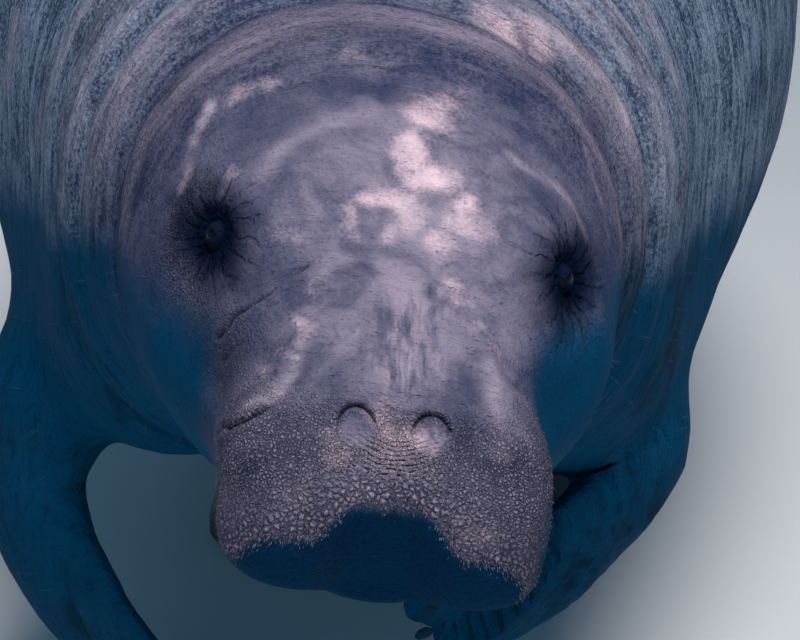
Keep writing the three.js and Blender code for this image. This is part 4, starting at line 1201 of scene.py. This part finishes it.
def hair_tree():
    tree = bpy.data.node_groups.new("hairs_on_hide", "GeometryNodeTree")
    face = tree.interface
    face.new_socket("Geometry", in_out="INPUT", socket_type="NodeSocketGeometry")
    for name, kind in (
        ("Shaft", "NodeSocketObject"), ("Where", "NodeSocketString"), ("Hairs per square metre", "NodeSocketFloat"),
        ("Length", "NodeSocketFloat"), ("Width", "NodeSocketFloat"), ("Lean", "NodeSocketFloat"),
        ("Unevenness", "NodeSocketFloat"), ("Seed", "NodeSocketInt"), ("Material", "NodeSocketMaterial"),
    ):
        face.new_socket(name, in_out="INPUT", socket_type=kind)
    face.new_socket("Geometry", in_out="OUTPUT", socket_type="NodeSocketGeometry")
    nodes, links = tree.nodes, tree.links
    given, result = nodes.new("NodeGroupInput"), nodes.new("NodeGroupOutput")

    def add(kind, settings=(), inputs=()):
        node = nodes.new(kind)
        for name, value in dict(settings).items():
            setattr(node, name, value)
        for key, value in dict(inputs).items():
            if isinstance(value, bpy.types.NodeSocket):
                links.new(value, node.inputs[key])
            else:
                node.inputs[key].default_value = value
        return node

    def stored(name, kind):
        return add("GeometryNodeInputNamedAttribute", {"data_type": kind}, {"Name": name}).outputs["Attribute"]

    def vector(operation, *values):
        return add("ShaderNodeVectorMath", {"operation": operation}, enumerate(values)).outputs["Vector"]

    def scaled(v, factor):
        return add("ShaderNodeVectorMath", {"operation": "SCALE"}, {0: v, "Scale": factor}).outputs["Vector"]

    where = stored(given.outputs["Where"], "FLOAT")
    close = add("ShaderNodeMath", {"operation": "MULTIPLY"}, {0: where, 1: given.outputs["Hairs per square metre"]})
    roots = add(
        "GeometryNodeDistributePointsOnFaces", (),
        {"Mesh": given.outputs["Geometry"], "Density": close.outputs[0], "Seed": given.outputs["Seed"]},
    )
    unwrap = add(
        "GeometryNodeStoreNamedAttribute", {"data_type": "FLOAT_VECTOR", "domain": "POINT"},
        {"Geometry": roots.outputs["Points"], "Name": "root", "Value": stored("HideUnwrap", "FLOAT_VECTOR")},
    )
    spread = add(
        "FunctionNodeRandomValue", {"data_type": "FLOAT_VECTOR"},
        {"Min": (-1.0, -1.0, -1.0), "Max": (1.0, 1.0, 1.0), "Seed": given.outputs["Seed"]},
    ).outputs[0]
    aim = vector("ADD", roots.outputs["Normal"], scaled(stored("lay", "FLOAT_VECTOR"), given.outputs["Lean"]))
    aim = vector("ADD", aim, scaled(spread, given.outputs["Unevenness"]))
    turned = add("FunctionNodeAlignRotationToVector", {"axis": "Z"}, {"Vector": aim})
    faced = add(
        "FunctionNodeAlignRotationToVector", {"axis": "X", "pivot_axis": "Z"},
        {"Rotation": turned.outputs[0], "Vector": stored("lay", "FLOAT_VECTOR")},
    )
    size = add("FunctionNodeRandomValue", {"data_type": "FLOAT"}, {2: 0.55, 3: 1.1, "Seed": given.outputs["Seed"]})
    tall = add("ShaderNodeMath", {"operation": "MULTIPLY"}, {0: size.outputs[1], 1: given.outputs["Length"]})
    scale = add(
        "ShaderNodeCombineXYZ", (),
        {"X": given.outputs["Width"], "Y": given.outputs["Width"], "Z": tall.outputs[0]},
    )
    model = add("GeometryNodeObjectInfo", {"transform_space": "ORIGINAL"}, {"Object": given.outputs["Shaft"]})
    grown = add(
        "GeometryNodeInstanceOnPoints", (),
        {"Points": unwrap.outputs[0], "Instance": model.outputs["Geometry"], "Rotation": faced.outputs[0],
         "Scale": scale.outputs[0]},
    )
    real = add("GeometryNodeRealizeInstances", (), {"Geometry": grown.outputs[0]})
    push = scaled(stored("lay", "FLOAT_VECTOR"), stored("bend", "FLOAT"))
    moved = add("GeometryNodeSetPosition", (), {"Geometry": real.outputs[0], "Offset": push})
    flat = add(
        "GeometryNodeStoreNamedAttribute", {"data_type": "FLOAT2", "domain": "CORNER"},
        {"Geometry": moved.outputs[0], "Name": "OFBake",
         "Value": vector("ADD", stored("root", "FLOAT_VECTOR"), stored("patch", "FLOAT_VECTOR"))},
    )
    done = add(
        "GeometryNodeSetMaterial", (), {"Geometry": flat.outputs[0], "Material": given.outputs["Material"]}
    )
    links.new(done.outputs[0], result.inputs[0])
    return tree


def hair_finish(name, root, tip):
    material, start, shader = new_finish(name)
    place = start.own()
    share = place.clouds(260, 2, 0.5)
    colour = painted(root, tip, share.span(0.3, 0.7), start.tree)
    apply_finish(start, shader, colour, 0.42 + 0.1 * share, (), IOR=1.5)
    return material


HAIRS_TREE = hair_tree()
# name, hairs per square metre, length, width, lean, unevenness, bend, sides, joints, seed, colours
COATS = [
    ("bristles", 420000, 0.0028, 0.00060, 0.5, 0.35, 0.0004, 5, 3, 3, srgb(52, 56, 76), srgb(116, 112, 130)),
    ("whiskers", 30000, 0.0022, 0.00022, 0.7, 0.45, 0.0006, 4, 2, 4, srgb(84, 84, 100), srgb(140, 136, 150)),
    ("hairs", 320, 0.0140, 0.00020, 1.6, 0.5, 0.0040, 3, 3, 5, srgb(70, 88, 104), srgb(124, 136, 150)),
]
SPARE = ("root", "patch", "bend", "id")  # layers that were needed only to grow the hairs
for name, close, length, width, lean, uneven, bend, sides, joints, seed, root, tip in COATS:
    model = shaft(name + "_shaft", sides, joints, bend)
    carrier = skin.copy()
    bpy.context.scene.collection.objects.link(carrier)
    grow = carrier.modifiers.new("hairs", "NODES")
    grow.node_group = HAIRS_TREE
    given = {
        "Shaft": model, "Where": name, "Hairs per square metre": float(close), "Length": length, "Width": width,
        "Lean": lean, "Unevenness": uneven, "Seed": seed, "Material": hair_finish(name + "_hair", root, tip),
    }
    for socket in HAIRS_TREE.interface.items_tree:
        if socket.in_out == "INPUT" and socket.name in given:
            grow[socket.identifier] = given[socket.name]
    grown = bpy.data.meshes.new_from_object(carrier.evaluated_get(bpy.context.evaluated_depsgraph_get()))
    bpy.data.objects.remove(carrier)
    bpy.data.objects.remove(model)
    coat = bpy.data.objects.new(name, grown)
    bpy.context.scene.collection.objects.link(coat)
    for spare in [a.name for a in grown.attributes if a.name in skin_mesh.attributes or a.name in SPARE]:
        if spare not in ("position", "material_index", "sharp_face") and not spare.startswith("."):
            grown.attributes.remove(grown.attributes[spare])
    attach(coat, "root")

# ---------------------------------------------------------------------------------------------------------
# The eyes. Small round glass balls, nearly black, each let into a hole in the hide behind its lids.
def eye_finish():
    material, start, shader = new_finish("eye_glass")
    place = start.own()
    cloud = place.clouds(220, 3, 0.5)
    colour = painted(srgb(4, 5, 10), srgb(18, 18, 26), cloud.span(0.35, 0.75), start.tree)
    apply_finish(start, shader, colour, 0.22 + 0.08 * cloud, (), IOR=1.33, Specular_IOR_Level=0.25)
    return material


eye_material = eye_finish()
for (at, out_dir, side_dir, rise_dir), name in zip(EYES, ("eye_right", "eye_left")):
    ball = bmesh.new()
    bmesh.ops.create_uvsphere(ball, u_segments=48, v_segments=28, radius=1)
    local = np.array([v.co for v in ball.verts]) * EYEBALL
    world = posed(at + local[:, :1] * side_dir + local[:, 1:2] * rise_dir + (local[:, 2:] - EYE_SINK) * out_dir)
    for v, co in zip(ball.verts, world * MM):
        v.co = co
    bmesh.ops.recalc_face_normals(ball, faces=ball.faces)
    mesh = bpy.data.meshes.new(name + "_ball")
    ball.to_mesh(mesh)
    ball.free()
    mesh.polygons.foreach_set("use_smooth", [True] * len(mesh.polygons))
    mesh.materials.append(eye_material)
    piece = bpy.data.objects.new(name + "_ball", mesh)
    bpy.context.scene.collection.objects.link(piece)
    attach(piece, "root")
    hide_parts(name)


# ---------------------------------------------------------------------------------------------------------
# The nails. Three flat horn nails near the tip of each flipper, grown out of the hide, dull and grooved.
def nail_finish():
    material, start, shader = new_finish("nail_horn")
    place = start.own()
    cloud = place.clouds(140, 3, 0.5)
    grooves = place.move("MULTIPLY", place, (900, 300, 300)).clouds(1, 3, 0.55)
    # painted shade: the nails take the dark blue of the shaded flippers
    colour = painted(srgb(0, 34, 56), srgb(8, 52, 78), (cloud * 0.6 + grooves * 0.4).span(0.3, 0.7), start.tree)
    apply_finish(start, shader, colour, 0.6 + 0.2 * grooves, [(grooves, 0.0004)], Specular_IOR_Level=0.05)
    return material


def dress(prefix, material):
    """Gives a finish to every solid whose name starts with prefix."""
    for name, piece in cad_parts.items():
        if name.startswith(prefix):
            piece.data.materials.clear()
            piece.data.materials.append(material)


dress("nail_", nail_finish())


# ---------------------------------------------------------------------------------------------------------
# The stand. A flat steel base with rounded corners and two upright rods, painted satin dark grey.
def stand_finish():
    material, start, shader = new_finish("stand_paint")
    place = start.own()
    cloud = place.clouds(9, 4, 0.55)
    orange_peel = place.clouds(420, 2, 0.5)
    colour = painted(srgb(44, 46, 50), srgb(60, 62, 66), cloud.span(0.35, 0.65), start.tree)
    apply_finish(start, shader, colour, 0.38 + 0.16 * cloud, [(orange_peel, 0.0002)])
    return material


dress("stand_", stand_finish())

# ---------------------------------------------------------------------------------------------------------
# The studio: a wide pale floor, one broad soft light from above and in front, a weak one at the front, and a
# little bluish light from all round.
floor_mesh = bpy.data.meshes.new("floor")
FLOOR_HALF = 30
floor_corners = [(a * FLOOR_HALF, b * FLOOR_HALF, 0) for a, b in ((-1, -1), (1, -1), (1, 1), (-1, 1))]
floor_mesh.from_pydata(floor_corners, [], [(0, 1, 2, 3)])
floor = bpy.data.objects.new("floor", floor_mesh)
bpy.context.scene.collection.objects.link(floor)
floor_material, floor_start, floor_shader = new_finish("floor_pale")
floor_cloud = floor_start.own().clouds(1.5, 3, 0.5)
apply_finish(
    floor_start, floor_shader,
    painted(srgb(206, 208, 210), srgb(216, 217, 218), floor_cloud, floor_start.tree), 0.8,
)
floor_mesh.materials.append(floor_material)
floor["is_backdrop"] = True

bpy.context.scene.view_settings.view_transform = "Standard"
world = bpy.data.worlds.new("studio")
bpy.context.scene.world = world
world.use_nodes = True
world.node_tree.nodes["Background"].inputs["Color"].default_value = (0.30, 0.66, 1.0, 1)
world.node_tree.nodes["Background"].inputs["Strength"].default_value = 0.24


def soft_light(name, place, aim, size, power, colour):
    lamp = bpy.data.lights.new(name, "AREA")
    lamp.shape, lamp.size, lamp.energy, lamp.color = "DISK", size, power, colour
    piece = bpy.data.objects.new(name, lamp)
    piece.location = place
    piece.rotation_euler = (Vector(aim) - Vector(place)).to_track_quat("-Z", "Y").to_euler()
    bpy.context.scene.collection.objects.link(piece)


soft_light("overhead", (0.6, -3.0, 5.8), (0, -1.2, 0.6), 2.6, 400, (1.0, 0.96, 0.94))
soft_light("front", (-1.2, -4.4, 1.9), (0, -1.3, 0.5), 2.0, 8, (0.50, 0.80, 1.0))

# The camera stands 1.6 m in front of the face, a little above it and to the animal's left, looking down at it
AIM = np.array([0.03847, -1.447, 0.53702])
AZIMUTH, ELEVATION, DISTANCE, ROLL = math.radians(2.5), math.radians(22), 1.6, math.radians(2)
PICTURE = (800, 640)
PIXELS = 2720  # focal length, in the picture's pixels
AIM_AT = (396, 424)  # the pixel at which the aim point is seen
SENSOR = 36
towards = np.array(
    [math.sin(AZIMUTH) * math.cos(ELEVATION), -math.cos(AZIMUTH) * math.cos(ELEVATION), math.sin(ELEVATION)]
)
level = unit(np.cross(-towards, (0, 0, 1)))
upright = np.cross(level, -towards)
right = level * math.cos(ROLL) + upright * math.sin(ROLL)
lift = -level * math.sin(ROLL) + upright * math.cos(ROLL)
off_centre = right * (AIM_AT[0] - PICTURE[0] / 2) + lift * (PICTURE[1] / 2 - AIM_AT[1])
gaze = unit(-towards - off_centre / PIXELS)
right = unit(right - gaze * (right @ gaze))
lift = np.cross(right, gaze)
camera_data = bpy.data.cameras.new("camera")
camera_data.sensor_width = SENSOR
camera_data.lens = SENSOR * PIXELS / PICTURE[0]
camera = bpy.data.objects.new("camera", camera_data)
turned = Matrix(np.stack([right, lift, -gaze], 1).tolist()).to_4x4()
camera.matrix_world = Matrix.Translation(AIM + towards * DISTANCE) @ turned
bpy.context.scene.collection.objects.link(camera)
bpy.context.scene.camera = camera

as_lists = lambda box: [[float(v) for v in corner] for corner in box]
{"cad": as_lists(cad_box), "visual": as_lists(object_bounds())}
